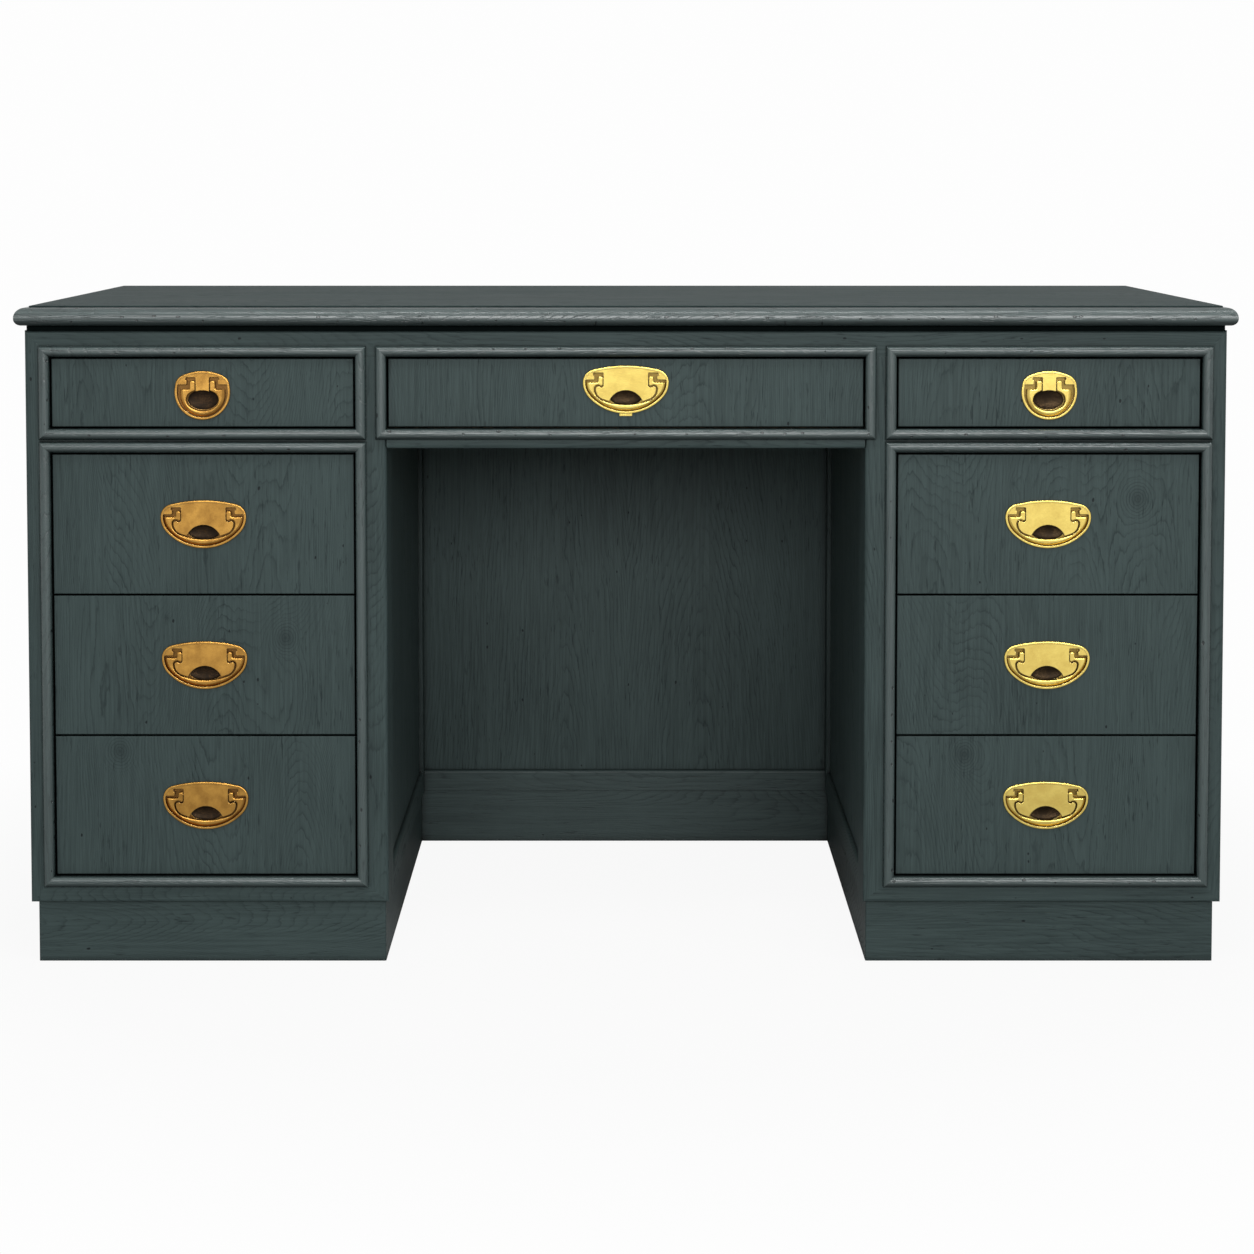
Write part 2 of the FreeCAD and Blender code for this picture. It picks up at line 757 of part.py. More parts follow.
def tongue_edge(kind):
    """Right edge of the tongue, from beside the knuckle to the top of the cup's arch."""
    name = kind + "_loop"
    gap = name + "_gap"
    place(kind + "_tongue_radius", f"{kind}_neck_radius - {gap}")
    if kind == "small":
        place("small_tongue_foot",
              "small_neck_up + sqrt(small_tongue_radius ^ 2 - small_tongue_reach ^ 2)")
        return [
            ("small_tongue_reach", "small_tongue_foot"),
            ("0", "small_neck_up + small_tongue_radius", "small_tongue_radius", 1),
        ]
    inner = name + "_lobe"
    oval_places(inner, f"{name}_half_width - {gap}", f"{name}_below - {gap}", f"{name}_round - {gap}")
    place("large_cusp",
          f"{name}_middle + {inner}_rise - sqrt({inner}_wide_radius ^ 2 - large_cusp_reach ^ 2)")
    place("large_arch_radius",
          "((large_arch_top - large_cusp) ^ 2 + large_cusp_reach ^ 2) / (2 * (large_arch_top - large_cusp))")
    edge = corner_places(
        "large_tongue", "large_tongue_reach", "tongue_corner_round",
        ("large_neck_across", "large_neck_up"), "large_tongue_radius")
    return edge + [
        (f"{name}_half_width - {gap}", f"{name}_middle", "large_tongue_radius", -1),
        (inner + "_joint_across", f"{name}_middle - {inner}_joint_away", f"{name}_round - {gap}", -1),
        ("large_cusp_reach", "large_cusp", inner + "_wide_radius", -1),
        ("0", "large_arch_top", "large_arch_radius", 1),
    ]


def recess_outline(kind):
    """The sunk space for the bail, its knuckles and the fingers; the tongue hangs into it."""
    half = plate_lower_edge(kind, kind + "_recess", "rim_width")
    rim = f"{kind}_plate_half_width - rim_width"
    step, beak, notch = (f"{kind}_{level}_top" for level in ("step", "beak", "notch"))
    beak_reach, notch_reach, tongue = (f"{kind}_{piece}_reach" for piece in ("beak", "notch", "tongue"))
    half += [
        (rim, step + " - recess_corner_round"),
        (rim + " - recess_corner_round", step, "recess_corner_round", 1),
        (beak_reach + " + recess_corner_round", step),
        (beak_reach, step + " + recess_corner_round", "recess_corner_round", -1),
        (beak_reach, beak + " - beak_round"),
        (beak_reach + " + beak_round", beak, "beak_round", -1),
        (notch_reach + " - beak_round", beak),
        (notch_reach, beak + " + beak_round", "beak_round", 1),
        (notch_reach, notch + " - recess_corner_round"),
        (notch_reach + " - recess_corner_round", notch, "recess_corner_round", 1),
        (tongue + " + recess_corner_round", notch),
        (tongue, notch + " - recess_corner_round", "recess_corner_round", 1),
    ]
    return mirrored_outline(half + tongue_edge(kind))


def bail_outline(kind):
    """The crescent bail with its two arms up to the knuckles."""
    name = kind + "_loop"
    shoulder = kind + "_shoulder"
    inset = f"rim_width - {kind}_bail_side_play"
    bottom = f"({kind}_plate_widest - {kind}_plate_below + rim_width + {kind}_bail_low_play)"
    half = lower_edge(
        kind, kind + "_bail", f"{kind}_plate_half_width - {inset}", f"{shoulder} - {bottom}",
        shoulder, f"large_plate_lower_round - {inset}")
    inner = f"{kind}_knuckle_inner"
    outer = f"{kind}_knuckle_outer"
    top = f"{kind}_knuckle_top"
    half += [
        (f"{outer} + knuckle_round", shoulder),
        (outer, f"{shoulder} + knuckle_round", "knuckle_round", -1),
        (outer, top + " - knuckle_top_round"),
        (outer + " - knuckle_top_round", top, "knuckle_top_round", 1),
        (inner + " + knuckle_top_round", top),
        (inner, top + " - knuckle_top_round", "knuckle_top_round", 1),
    ]
    half += neck_edge(kind)
    half += [
        (f"{name}_joint_across", f"{name}_middle - {name}_joint_away", f"{name}_round", -1),
        ("0", f"{name}_middle - {name}_below", f"{name}_wide_radius", -1),
    ]
    return mirrored_outline(half)


def pin_cylinder(body, kind, feature_type, name, start, length, radius, side):
    """A pin or its bore along the bail's axis, on one side of the tongue."""
    cylinder = body.newObject(feature_type, name)
    bind(cylinder, "Radius", radius)
    bind(cylinder, "Height", length)
    outward = RIGHT if side == "right" else RIGHT * -1
    cylinder.AttachmentSupport = [(origin_plane(body, "XY_Plane"), "")]
    cylinder.MapMode = "FlatFace"
    cylinder.AttachmentOffset = FreeCAD.Placement(FreeCAD.Vector(), FreeCAD.Rotation(UP, outward))
    bind(cylinder, "AttachmentOffset.Base.x", start if side == "right" else minus(start))
    bind(cylinder, "AttachmentOffset.Base.y", f"{kind}_pin_height")
    bind(cylinder, "AttachmentOffset.Base.z", "pin_depth")
    body.Tip = cylinder
    return cylinder


def make_plate(kind):
    """Brass plate: a flange on the drawer front, and a tub behind it with the recess and the cup."""
    body = new_body(kind + "_plate_master")
    name = body.Name
    flange = pad(body, name + "_flange", outline_sketch(
        body, name + "_edge", plate_outline(kind, kind + "_edge", "0")), "plate_flange")
    round_edges(body, flange, "plate_round", lambda spot: abs(spot.z - number("plate_flange")) < SMALL)
    pad(body, name + "_tub", outline_sketch(
        body, name + "_tub_edge", plate_outline(kind, kind + "_tub", "plate_lip")), "plate_tub_depth", True)
    pocket(body, name + "_field", outline_sketch(
        body, name + "_field_edge", plate_outline(kind, kind + "_field", "rim_width"), "plate_flange"),
        "plate_field_depth")
    recess = pocket(body, name + "_recess", outline_sketch(
        body, name + "_recess_edge", recess_outline(kind), "plate_flange"), "plate_flange + recess_depth")
    body.Tip = recess
    cup = body.newObject("PartDesign::SubtractiveEllipsoid", name + "_cup")
    bind(cup, "Radius1", "cup_depth")
    bind(cup, "Radius2", f"{kind}_cup_half_width")
    bind(cup, "Radius3", f"{kind}_cup_half_height")
    cup.AttachmentSupport = [(origin_plane(body, "XY_Plane"), "")]
    cup.MapMode = "FlatFace"
    bind(cup, "AttachmentOffset.Base.y", f"{kind}_cup_middle")
    bind(cup, "AttachmentOffset.Base.z", "-recess_depth")
    body.Tip = cup
    for side in ("left", "right"):
        pin_cylinder(
            body, kind, "PartDesign::SubtractiveCylinder", f"{name}_{side}_bore",
            f"{kind}_tongue_reach - pin_bore_depth", "pin_bore_depth", "pin_bore_radius", side)
    return body


def bail_level(kind):
    """How far out a spot of the bail lies, as a share of its outer oval."""
    shoulder = number(f"{kind}_shoulder")
    half_width = number(f"{kind}_plate_half_width - rim_width - {kind}_bail_side_play")
    bottom = number(f"{kind}_plate_widest - {kind}_plate_below + rim_width + {kind}_bail_low_play")
    return lambda spot: math.hypot(spot.x / half_width, (spot.y - shoulder) / (shoulder - bottom))


def make_bail(kind):
    """Brass bail: a crescent that slopes to its outer edge, with two trunnion pins."""
    body = new_body(kind + "_bail_master")
    name = body.Name
    loop = pad(body, name + "_loop", outline_sketch(
        body, name + "_edge", bail_outline(kind), "bail_back"), "bail_thickness")
    body.Tip = loop
    front = number("bail_front")
    outline_level = bail_level(kind)
    sloped = slope_edges(
        body, loop, "bail_slope_width", "bail_slope_fall",
        lambda spot: abs(spot.z - front) < SMALL and outline_level(spot) > OUTER_EDGE_SHARE)
    kept_corners = [vertex.Point for vertex in loop.Shape.Vertexes]
    round_edges(
        body, sloped, "bail_round",
        lambda spot: abs(spot.z - front) < SMALL and any(
            (spot - corner).Length < SMALL for corner in kept_corners))
    pin_run = f"{kind}_knuckle_inner - {kind}_tongue_reach + pin_length + bail_round"
    for side in ("left", "right"):
        pin_cylinder(
            body, kind, "PartDesign::AdditiveCylinder", f"{name}_{side}_pin",
            f"{kind}_tongue_reach - pin_length", pin_run, "pin_radius", side)
    return body


def make_mortise(kind):
    """The space that a plate's tub needs in a drawer front."""
    body = new_body(kind + "_mortise_master")
    name = body.Name
    body.Tip = pad(body, name + "_cut", outline_sketch(
        body, name + "_edge", plate_outline(kind, kind + "_mortise", "(plate_lip - mortise_play)")),
        "plate_tub_depth + mortise_play", True)
    return body


place("large_shoulder", "large_plate_widest")
for kind in ("large", "small"):
    loop_places(kind)
masters = {
    kind: {"plate": make_plate(kind), "bail": make_bail(kind), "mortise": make_mortise(kind)}
    for kind in ("large", "small")
}
pull_turn = FreeCAD.Rotation(RIGHT, UP, FORWARD, "XYZ")


def pull_piece(name, kind, piece, x, z):
    body = copy_of(name, masters[kind][piece])
    body.Placement = FreeCAD.Placement(FreeCAD.Vector(), pull_turn)
    bind_base(body, x, "front_face", z)
    return body


# Drawers

def dovetailed_side(name, x, z, tails, groove, bottom):
    """A drawer side: tails into the front, a groove for the runner and one for the bottom."""
    height = f"(({z[1]}) - ({z[0]}))"
    pieces = [board(name + "_board", x, ("front_back", "box_back"), z)]
    for index in range(tails):
        tail = document.addObject("Part::Wedge", f"{name}_tail_{index + 1}")
        wide = f"{height} / {tails} * {TAIL_SHARE}"
        for field, formula in (
            ("Xmin", "0"), ("X2min", "0"), ("Xmax", "box_board"), ("X2max", "box_board"),
            ("Ymin", "0"), ("Ymax", "tail_length"),
            ("Zmin", "0"), ("Zmax", wide),
            ("Z2min", "tail_flare"), ("Z2max", f"{wide} - tail_flare"),
        ):
            bind(tail, field, formula)
        middle = f"{z[0]} + {height} / {tails} * ({index} + {(1 - TAIL_SHARE) / 2})"
        bind_base(tail, x[0], "front_back - tail_length", middle)
        pieces.append(tail)
    whole = document.addObject("Part::MultiFuse", name + "_whole")
    whole.Shapes = pieces
    return cut(name, whole, groove, bottom)


def make_drawer(name, x, z, kind, pull_shift, tails):
    """One drawer: front, dovetailed box, recessed plate and bail. Returns the spans of its box."""
    box_x = (f"{x[0]} + box_inset", f"{x[1]} - box_inset")
    box_z = (f"{z[0]} + box_lift", f"{z[1]} - box_drop")
    inner_x = (f"{box_x[0]} + box_board", f"{box_x[1]} - box_board")
    middle_z = f"(({box_z[0]}) + ({box_z[1]})) / 2"
    groove_z = (f"{middle_z} - runner_groove_height / 2", f"{middle_z} + runner_groove_height / 2")
    groove_y = ("front_back + runner_groove_stop", "box_back")
    bottom_low = f"{box_z[0]} + drawer_bottom_lift"
    bottom_z = (bottom_low, f"{bottom_low} + drawer_bottom")
    bottom = board(
        name + "_bottom",
        (f"{inner_x[0]} - drawer_bottom_groove", f"{inner_x[1]} + drawer_bottom_groove"),
        ("front_back - drawer_bottom_groove", "box_back"), bottom_z)
    back = board(name + "_back", inner_x, ("box_back - box_board", "box_back"), (bottom_z[1], box_z[1]))
    side_x = ((box_x[0], inner_x[0]), (inner_x[1], box_x[1]))
    groove_x = (
        (box_x[0], f"{box_x[0]} + runner_groove_depth"),
        (f"{box_x[1]} - runner_groove_depth", box_x[1]))
    sides = []
    for hand, span, groove_span in zip(("left", "right"), side_x, groove_x):
        groove = board(f"{name}_{hand}_groove", groove_span, groove_y, groove_z)
        sides.append(dovetailed_side(f"{name}_{hand}_side", span, box_z, tails, groove, bottom))
    pull_x = f"(({x[0]}) + ({x[1]})) / 2"
    pull_z = f"(({z[0]}) + ({z[1]})) / 2 + ({pull_shift})"
    block = eased_board(
        name + "_block", x, ("front_face", "front_back"), z, "front_ease", lambda spot: spot.y < SMALL)
    mortise = pull_piece(name + "_mortise", kind, "mortise", pull_x, pull_z)
    node(name + "_front", cut(name + "_front", block, mortise, bottom, *sides))
    node(name + "_box", bottom, back, *sides)
    node(name + "_pull_plate", pull_piece(name + "_pull_plate", kind, "plate", pull_x, pull_z))
    node(name + "_pull_bail", pull_piece(name + "_pull_bail", kind, "bail", pull_x, pull_z))
    return {"x": box_x, "groove_z": groove_z, "pull_z": pull_z}


def make_runners(name, box, walls):
    """The two strips on which a drawer slides, from the walls beside it into its grooves."""
    low, high = box["groove_z"]
    reach = "runner_groove_depth - runner_play"
    spans = ((walls[0], f"{box['x'][0]} + {reach}"), (f"{box['x'][1]} - ({reach})", walls[1]))
    return [
        board(f"{name}_{hand}_runner", span, ("runner_start", "back_front"), (f"{low} + runner_play", high))
        for hand, span in zip(("left", "right"), spans)
    ]


place("lower_front", f"(lower_top - lower_bottom - drawer_gap * ({LOWER_DRAWERS} + 1)) / {LOWER_DRAWERS}")
upper_front_z = ("upper_bottom + drawer_gap", "rail_bottom - drawer_gap")
runners = []
for side in ("left", "right"):
    front_x = mirrored(("opening_inner + drawer_gap", "opening_outer - drawer_gap"), side)
    walls = mirrored(("knee_half + frame_thickness", "half_width - frame_thickness"), side)
    name = side + "_drawer_top"
    box = make_drawer(name, front_x, upper_front_z, "small", "-small_pull_drop", SMALL_BOX_TAILS)
    runners += make_runners(name, box, walls)
    for index in range(LOWER_DRAWERS):
        name = f"{side}_drawer_{index + 1}"
        top = f"lower_top - drawer_gap - {index} * (lower_front + drawer_gap)"
        box = make_drawer(name, front_x, (f"{top} - lower_front", top), "large", "0", LARGE_BOX_TAILS)
        runners += make_runners(name, box, walls)
centre_x = ("drawer_gap - knee_half", "knee_half - drawer_gap")
centre = make_drawer("centre_drawer", centre_x, upper_front_z, "large", "centre_pull_lift", SMALL_BOX_TAILS)
runners += make_runners("centre_drawer", centre, ("-knee_half", "knee_half"))
node("drawer_runners", *runners)

# Brass lip under the centre pull, fitted to the plate's edge
lip_top = f"{centre['pull_z']} + large_plate_widest - large_plate_below"
lip = board(
    "lip_blank", ("-lip_width / 2", "lip_width / 2"), ("front_face - lip_thickness", "front_face"),
    (f"{lip_top} - lip_height", f"{lip_top} + lip_overrun"))
node("centre_pull_lip", cut("centre_pull_lip", lip, document.getObject("centre_drawer_pull_plate")))


# Checks, then one file for each sub-part

def check_document():
    document.recompute()
    for thing in document.Objects:
        if "Invalid" in thing.State or "Error" in thing.State:
            raise RuntimeError(f"{thing.Label} failed: {thing.State}")
    for thing in nodes:
        shape = thing.Shape
        if shape.isNull() or not shape.isValid() or not shape.Solids:
            raise RuntimeError(f"{thing.Label} has no sound shape")


def main():
    check_document()
    os.makedirs("parts", exist_ok=True)
    for thing in nodes:
        thing.Shape.exportStep(f"parts/{thing.Label}.step")
    print(f"{len(nodes)} sub-parts, {sum(len(thing.Shape.Solids) for thing in nodes)} solids")


main()
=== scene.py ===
# %% [markdown]
# # A pedestal desk in charcoal stain, with flush brass pulls
#
# The desk has two pedestals with drawers, a shallow drawer over the kneehole, and a bullnosed top.
# All its joinery is already modelled: every board, bead, plate and bail comes from the frame as a
# solid of its own, at its real size. What is left for Blender is the finish of each surface,
# the light and the camera, so this lesson is mostly about building two woods and three brasses from nodes.

# %% Load the frame
import math

import bpy
import bmesh
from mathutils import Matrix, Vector


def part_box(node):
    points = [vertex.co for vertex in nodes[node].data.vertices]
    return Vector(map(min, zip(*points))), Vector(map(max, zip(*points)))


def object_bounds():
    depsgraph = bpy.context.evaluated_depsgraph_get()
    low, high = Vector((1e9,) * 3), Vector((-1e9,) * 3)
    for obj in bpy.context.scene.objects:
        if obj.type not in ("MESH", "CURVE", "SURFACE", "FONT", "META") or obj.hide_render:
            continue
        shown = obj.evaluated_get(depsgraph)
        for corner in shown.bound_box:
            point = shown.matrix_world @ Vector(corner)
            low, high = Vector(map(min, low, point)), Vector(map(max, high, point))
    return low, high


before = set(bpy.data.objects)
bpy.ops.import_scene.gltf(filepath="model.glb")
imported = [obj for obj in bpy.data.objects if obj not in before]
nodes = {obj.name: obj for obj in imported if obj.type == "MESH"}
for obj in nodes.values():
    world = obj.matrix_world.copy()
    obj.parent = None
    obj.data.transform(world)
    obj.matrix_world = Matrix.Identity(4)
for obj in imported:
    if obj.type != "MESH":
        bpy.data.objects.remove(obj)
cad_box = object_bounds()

desk_low, desk_high = cad_box
print(len(nodes), "pieces, desk measures", [round(side, 3) for side in desk_high - desk_low], "m")

# %% [markdown]
# ## A shorthand for wiring nodes
#
# A procedural finish is a graph of small nodes. Placing and linking each one by hand takes three
# lines, which hides the idea behind the wiring. This class gives every kind of node that the finishes
# use one short word, and each word returns the socket that carries its result, so that a finish
# reads like a formula.

# %% Wiring words
COLOR_PLACES, COLOR_RESULT = (0, 6, 7), 2
VECTOR_PLACES, VECTOR_RESULT = (0, 4, 5), 1


class Finish:
    """One node tree, with a short word for each kind of node that the finishes use."""

    def __init__(self, tree):
        self.tree = tree

    def node(self, kind, **settings):
        made = self.tree.nodes.new(kind)
        for name, value in settings.items():
            setattr(made, name, value)
        return made

    def feed(self, socket, value):
        """Link a result to a socket, or set a constant on it."""
        if isinstance(value, bpy.types.NodeSocket):
            self.tree.links.new(value, socket)
        else:
            socket.default_value = value

    def run(self, made, values):
        for socket, value in zip(made.inputs, values):
            self.feed(socket, value)
        return made.outputs[0]

    def math(self, operation, *values):
        return self.run(self.node("ShaderNodeMath", operation=operation), values)

    def scaled(self, value, share):
        return self.math("MULTIPLY", value, share)

    def total(self, *values):
        result = values[0]
        for value in values[1:]:
            result = self.math("ADD", result, value)
        return result

    def join(self, x, y, z):
        return self.run(self.node("ShaderNodeCombineXYZ"), (x, y, z))

    def split(self, vector):
        made = self.node("ShaderNodeSeparateXYZ")
        self.feed(made.inputs[0], vector)
        return tuple(made.outputs)

    def vector(self, operation, *values):
        return self.run(self.node("ShaderNodeVectorMath", operation=operation), values)

    def noise(self, place, waves, detail=2.0, roughness=0.5):
        """Cloudy noise with so many waves per metre each way."""
        made = self.node("ShaderNodeTexNoise")
        self.feed(made.inputs["Vector"], self.vector("MULTIPLY", place, waves))
        made.inputs["Scale"].default_value = 1.0
        made.inputs["Detail"].default_value = detail
        made.inputs["Roughness"].default_value = roughness
        return made.outputs["Fac"]

    def fade(self, value, start, end, low=0.0, high=1.0):
        """Go from low to high while a value goes from start to end."""
        return self.run(self.node("ShaderNodeMapRange"), (value, start, end, low, high))

    def ramp(self, value, stops):
        made = self.node("ShaderNodeValToRGB")
        elements = made.color_ramp.elements
        while len(elements) < len(stops):
            elements.new(position=0.5)
        for element, (position, level) in zip(elements, stops):
            element.position = position
            element.color = (level, level, level, 1.0)
        return self.run(made, (value,))

    def mix(self, kind, places, result, values):
        """The Mix node has sockets for every kind of value, which only their places tell apart."""
        made = self.node("ShaderNodeMix", data_type=kind)
        for place, value in zip(places, values):
            self.feed(made.inputs[place], value)
        return made.outputs[result]

    def blend(self, share, first, second):
        return self.mix("RGBA", COLOR_PLACES, COLOR_RESULT, (share, first, second))

    def choose(self, share, first, second):
        return self.mix("VECTOR", VECTOR_PLACES, VECTOR_RESULT, (share, first, second))


print("wiring words:", [word for word in vars(Finish) if not word.startswith("_")])

# %% [markdown]
# ## Putting a finish on a piece
#
# A piece keeps the material slots that it came with, and a finish simply takes their place.
# The names of the pieces that have been dressed are kept, so that none is forgotten.

# %% Finishes and pieces
dressed = set()


def new_finish(name):
    material = bpy.data.materials.new(name)
    material.use_nodes = True
    material.node_tree.nodes.clear()
    return material, Finish(material.node_tree)


def dress(name, material):
    """Put a finish on every material slot of a piece."""
    for place in nodes[name].material_slots:
        place.material = material
        dressed.add(name)


def rgb(red, green, blue):
    return (red, green, blue, 1.0)


print("pieces to dress:", len(nodes))

# %% [markdown]
# ## Open grain under a stain
#
# The boards are ring-porous wood, stained a blue-green charcoal. The stain lies evenly between the
# growth rings and sinks dark into the open pores, so the grain shows as dark lines on a lighter ground.
# A picture of wood could be wrapped round each board, but it would run the same on every board and break
# at the edges. Here the wood is solid instead: a slow noise field fills space, stretched along the grain,
# and the rings are the contour lines of that field. Any cut through it looks like a board from that tree.
# Round a knot the contours give way to closed rings, counted out from its middle.

# %% Growth rings
SLOW_WAVES = (5.0, 0.8, 5.0)
WOBBLE_WAVES = (26.0, 4.5, 26.0)
JITTER_WAVES = (190.0, 34.0, 190.0)
BREAK_WAVES = (44.0, 7.0, 44.0)
RINGS_PER_STEP, RING_TILT, RING_WOBBLE, RING_JITTER = 140.0, 1.2, 0.034, 0.006
RING_STOPS = ((0.0, 0.0), (0.09, 0.95), (0.22, 0.30), (0.45, 0.05), (0.7, 0.0), (1.0, 0.0))
BREAK_BAND, FAINTEST_LINE = (0.34, 0.66), 0.10
KNOT_RINGS, KNOT_WOBBLE, KNOT_JITTER, LEAST_NEARNESS = 9.0, 3.0, 0.7, 0.001
NEAR_KNOT, NEAR_KNOT_LINE, IN_KNOT = (0.2, 0.5), 0.8, (0.42, 0.62)


def knot_rings(f, knot, wobble, jitter):
    """Closed rings: nearness to a knot falls off as an exponential, so its logarithm counts them."""
    nearness = f.math("MAXIMUM", knot, LEAST_NEARNESS)
    count = f.scaled(f.math("LOGARITHM", nearness, math.e), -KNOT_RINGS)
    uneven = f.total(count, f.scaled(wobble, KNOT_WOBBLE), f.scaled(jitter, KNOT_JITTER))
    return f.ramp(f.math("FRACT", uneven), RING_STOPS)


def growth_rings(f, grain, swirl, wander, knot):
    """Dark late wood: contour lines of a slow field, broken where the stain took less."""
    across = f.split(grain)[0]
    slow = f.noise(grain, SLOW_WAVES, detail=1.0, roughness=0.45)
    wobble = f.noise(grain, WOBBLE_WAVES)
    jitter = f.noise(grain, JITTER_WAVES, roughness=0.6)
    field = f.total(
        f.scaled(slow, wander), f.scaled(across, RING_TILT),
        f.scaled(wobble, RING_WOBBLE), f.scaled(jitter, RING_JITTER), swirl)
    line = f.ramp(f.math("FRACT", f.scaled(field, RINGS_PER_STEP)), RING_STOPS)
    broken = f.fade(f.noise(grain, BREAK_WAVES, detail=3.0, roughness=0.6), *BREAK_BAND, FAINTEST_LINE, 1.0)
    shown = f.math("MAXIMUM", broken, f.fade(knot, *NEAR_KNOT, 0.0, NEAR_KNOT_LINE))
    inside = f.fade(knot, *IN_KNOT)
    outside = f.math("SUBTRACT", 1.0, inside)
    closed = knot_rings(f, knot, wobble, jitter)
    return f.total(f.scaled(f.scaled(line, shown), outside), f.scaled(closed, inside))


print("growth rings:", RINGS_PER_STEP, "to a step of the field,", KNOT_RINGS, "to a step from a knot")

# %% [markdown]
# ## Pores and dents
#
# Open pores cover the wood as short dark dashes, and years of use have left small dents that hold the
# stain. Noise that is stretched along the grain and cut off near its peaks gives the dashes. For the
# dents a few cells of a cell pattern are drawn, each with a dent of its own size. The pattern is flat:
# in a solid one most dents would lie inside the wood, where no face meets them.

# %% Pores and dents
PORE_WAVES, PORE_BAND = (430.0, 40.0, 430.0), (0.60, 0.70)
DRIFT_WAVES, DRIFT_BAND, FEWEST_PORES = (24.0, 9.0, 24.0), (0.38, 0.62), 0.15
DENT_CELLS = (62.0, 34.0, 0.0)
BEND_WAVES, BEND = (160.0, 60.0, 160.0), 0.12
DENT_SIZE, DENT_RIM = 0.085, (-0.02, 0.01)


def open_pores(f, grain):
    """Short dark dashes along the grain, in drifts."""
    dashes = f.fade(f.noise(grain, PORE_WAVES, roughness=0.6), *PORE_BAND)
    drifts = f.fade(f.noise(grain, DRIFT_WAVES, detail=1.0), *DRIFT_BAND, FEWEST_PORES, 1.0)
    return f.scaled(dashes, drifts)


def nicks(f, grain, share):
    """Small dents in a share of the cells of a cell pattern."""
    cells = f.node("ShaderNodeTexVoronoi", voronoi_dimensions="2D")
    bend = f.scaled(f.noise(grain, BEND_WAVES), BEND)
    f.feed(cells.inputs["Vector"], f.vector("ADD", f.vector("MULTIPLY", grain, DENT_CELLS), bend))
    cells.inputs["Scale"].default_value = 1.0
    draw = f.split(cells.outputs["Color"])[0]
    least = f.math("SUBTRACT", 1.0, share)
    size = f.fade(draw, least, 1.0, 0.0, DENT_SIZE)
    dent = f.fade(f.math("SUBTRACT", cells.outputs["Distance"], size), *DENT_RIM, 1.0, 0.0)
    return f.scaled(dent, f.math("GREATER_THAN", draw, least))


print("the largest dents reach", round(1000 * DENT_SIZE / DENT_CELLS[0], 1), "mm each way across the grain")

# %% [markdown]
# ## The wood as one group
#
# Every board needs the same wood, so its wiring goes into a node group, which is built once and placed in
# each finish. The group takes a place in the wood (across, along and into the grain, in metres) and gives
# back a colour, a roughness and a height. It is made twice, once for the stained outside and once for
# the drawer boxes. The colours are laid on in a finisher's order: ground, fibres, lightening (worn stain
# and painted highlight), then the dark lines, pores and dents.

# %% The wood as one group
FIBRE_WAVES, MOTTLE_WAVES = (380.0, 11.0, 380.0), (7.0, 3.0, 7.0)
MOTTLE_BAND, FIBRE_BAND, LIGHTENING_BAND, KNOT_BAND = (0.3, 0.7), (0.38, 0.62), (0.3, 0.6), (0.60, 0.95)
FIBRE_SHARE, LEAST_LIGHTENING, KNOT_SHARE = 0.55, 0.25, 0.45
LINE_SHARE, PORE_SHARE, DENT_SHARE = 0.62, 0.60, 0.85
LINE_DEPTH, PORE_DEPTH, DENT_DEPTH, FIBRE_HEIGHT = 0.5, 0.8, 1.5, 0.25
LINE_ROUGHNESS, MOTTLE_ROUGHNESS = 0.15, 0.12
WOOD_INPUTS = ("Swirl", "Wander", "Knot", "Nicks", "WornAndLit")
WOOD_RESULTS = (("Color", "Color"), ("Roughness", "Float"), ("Height", "Float"))


def make_wood(name, tones, sheen):
    """A node group that turns a place in the wood into its colour, roughness and height."""
    tree = bpy.data.node_groups.new(name, "ShaderNodeTree")
    tree.interface.new_socket("Grain", in_out="INPUT", socket_type="NodeSocketVector")
    for label in WOOD_INPUTS:
        tree.interface.new_socket(label, in_out="INPUT", socket_type="NodeSocketFloat")
    for label, kind in WOOD_RESULTS:
        tree.interface.new_socket(label, in_out="OUTPUT", socket_type="NodeSocket" + kind)
    f = Finish(tree)
    inputs = f.node("NodeGroupInput").outputs
    grain, swirl, wander, knot, nick_share, worn = inputs[:1 + len(WOOD_INPUTS)]
    line = growth_rings(f, grain, swirl, wander, knot)
    pores = open_pores(f, grain)
    dent = nicks(f, grain, nick_share)
    fibre = f.noise(grain, FIBRE_WAVES, detail=3.0, roughness=0.65)
    mottle = f.noise(grain, MOTTLE_WAVES, detail=4.0, roughness=0.6)
    color = f.blend(f.fade(mottle, *MOTTLE_BAND), tones["dark"], tones["light"])
    color = f.blend(f.fade(fibre, *FIBRE_BAND, 0.0, FIBRE_SHARE), color, tones["fibre"])
    # The lightening below is partly worn stain, partly painted highlight on edges, crests and upper sides.
    rubbed_and_lit = f.scaled(worn, f.fade(fibre, *LIGHTENING_BAND, LEAST_LIGHTENING, 1.0))
    color = f.blend(rubbed_and_lit, color, tones["worn"])
    color = f.blend(f.fade(knot, *KNOT_BAND, 0.0, KNOT_SHARE), color, tones["ring"])
    color = f.blend(f.scaled(line, LINE_SHARE), color, tones["ring"])
    color = f.blend(f.scaled(pores, PORE_SHARE), color, tones["pore"])
    color = f.blend(f.scaled(dent, DENT_SHARE), color, tones["nick"])
    height = f.total(
        f.scaled(line, -LINE_DEPTH), f.scaled(pores, -PORE_DEPTH),
        f.scaled(dent, -DENT_DEPTH), f.scaled(fibre, FIBRE_HEIGHT))
    rough = f.total(sheen, f.scaled(line, LINE_ROUGHNESS), f.scaled(mottle, MOTTLE_ROUGHNESS))
    result = f.node("NodeGroupOutput")
    for socket, value in zip(result.inputs, (color, rough, height)):
        f.feed(socket, value)
    return tree


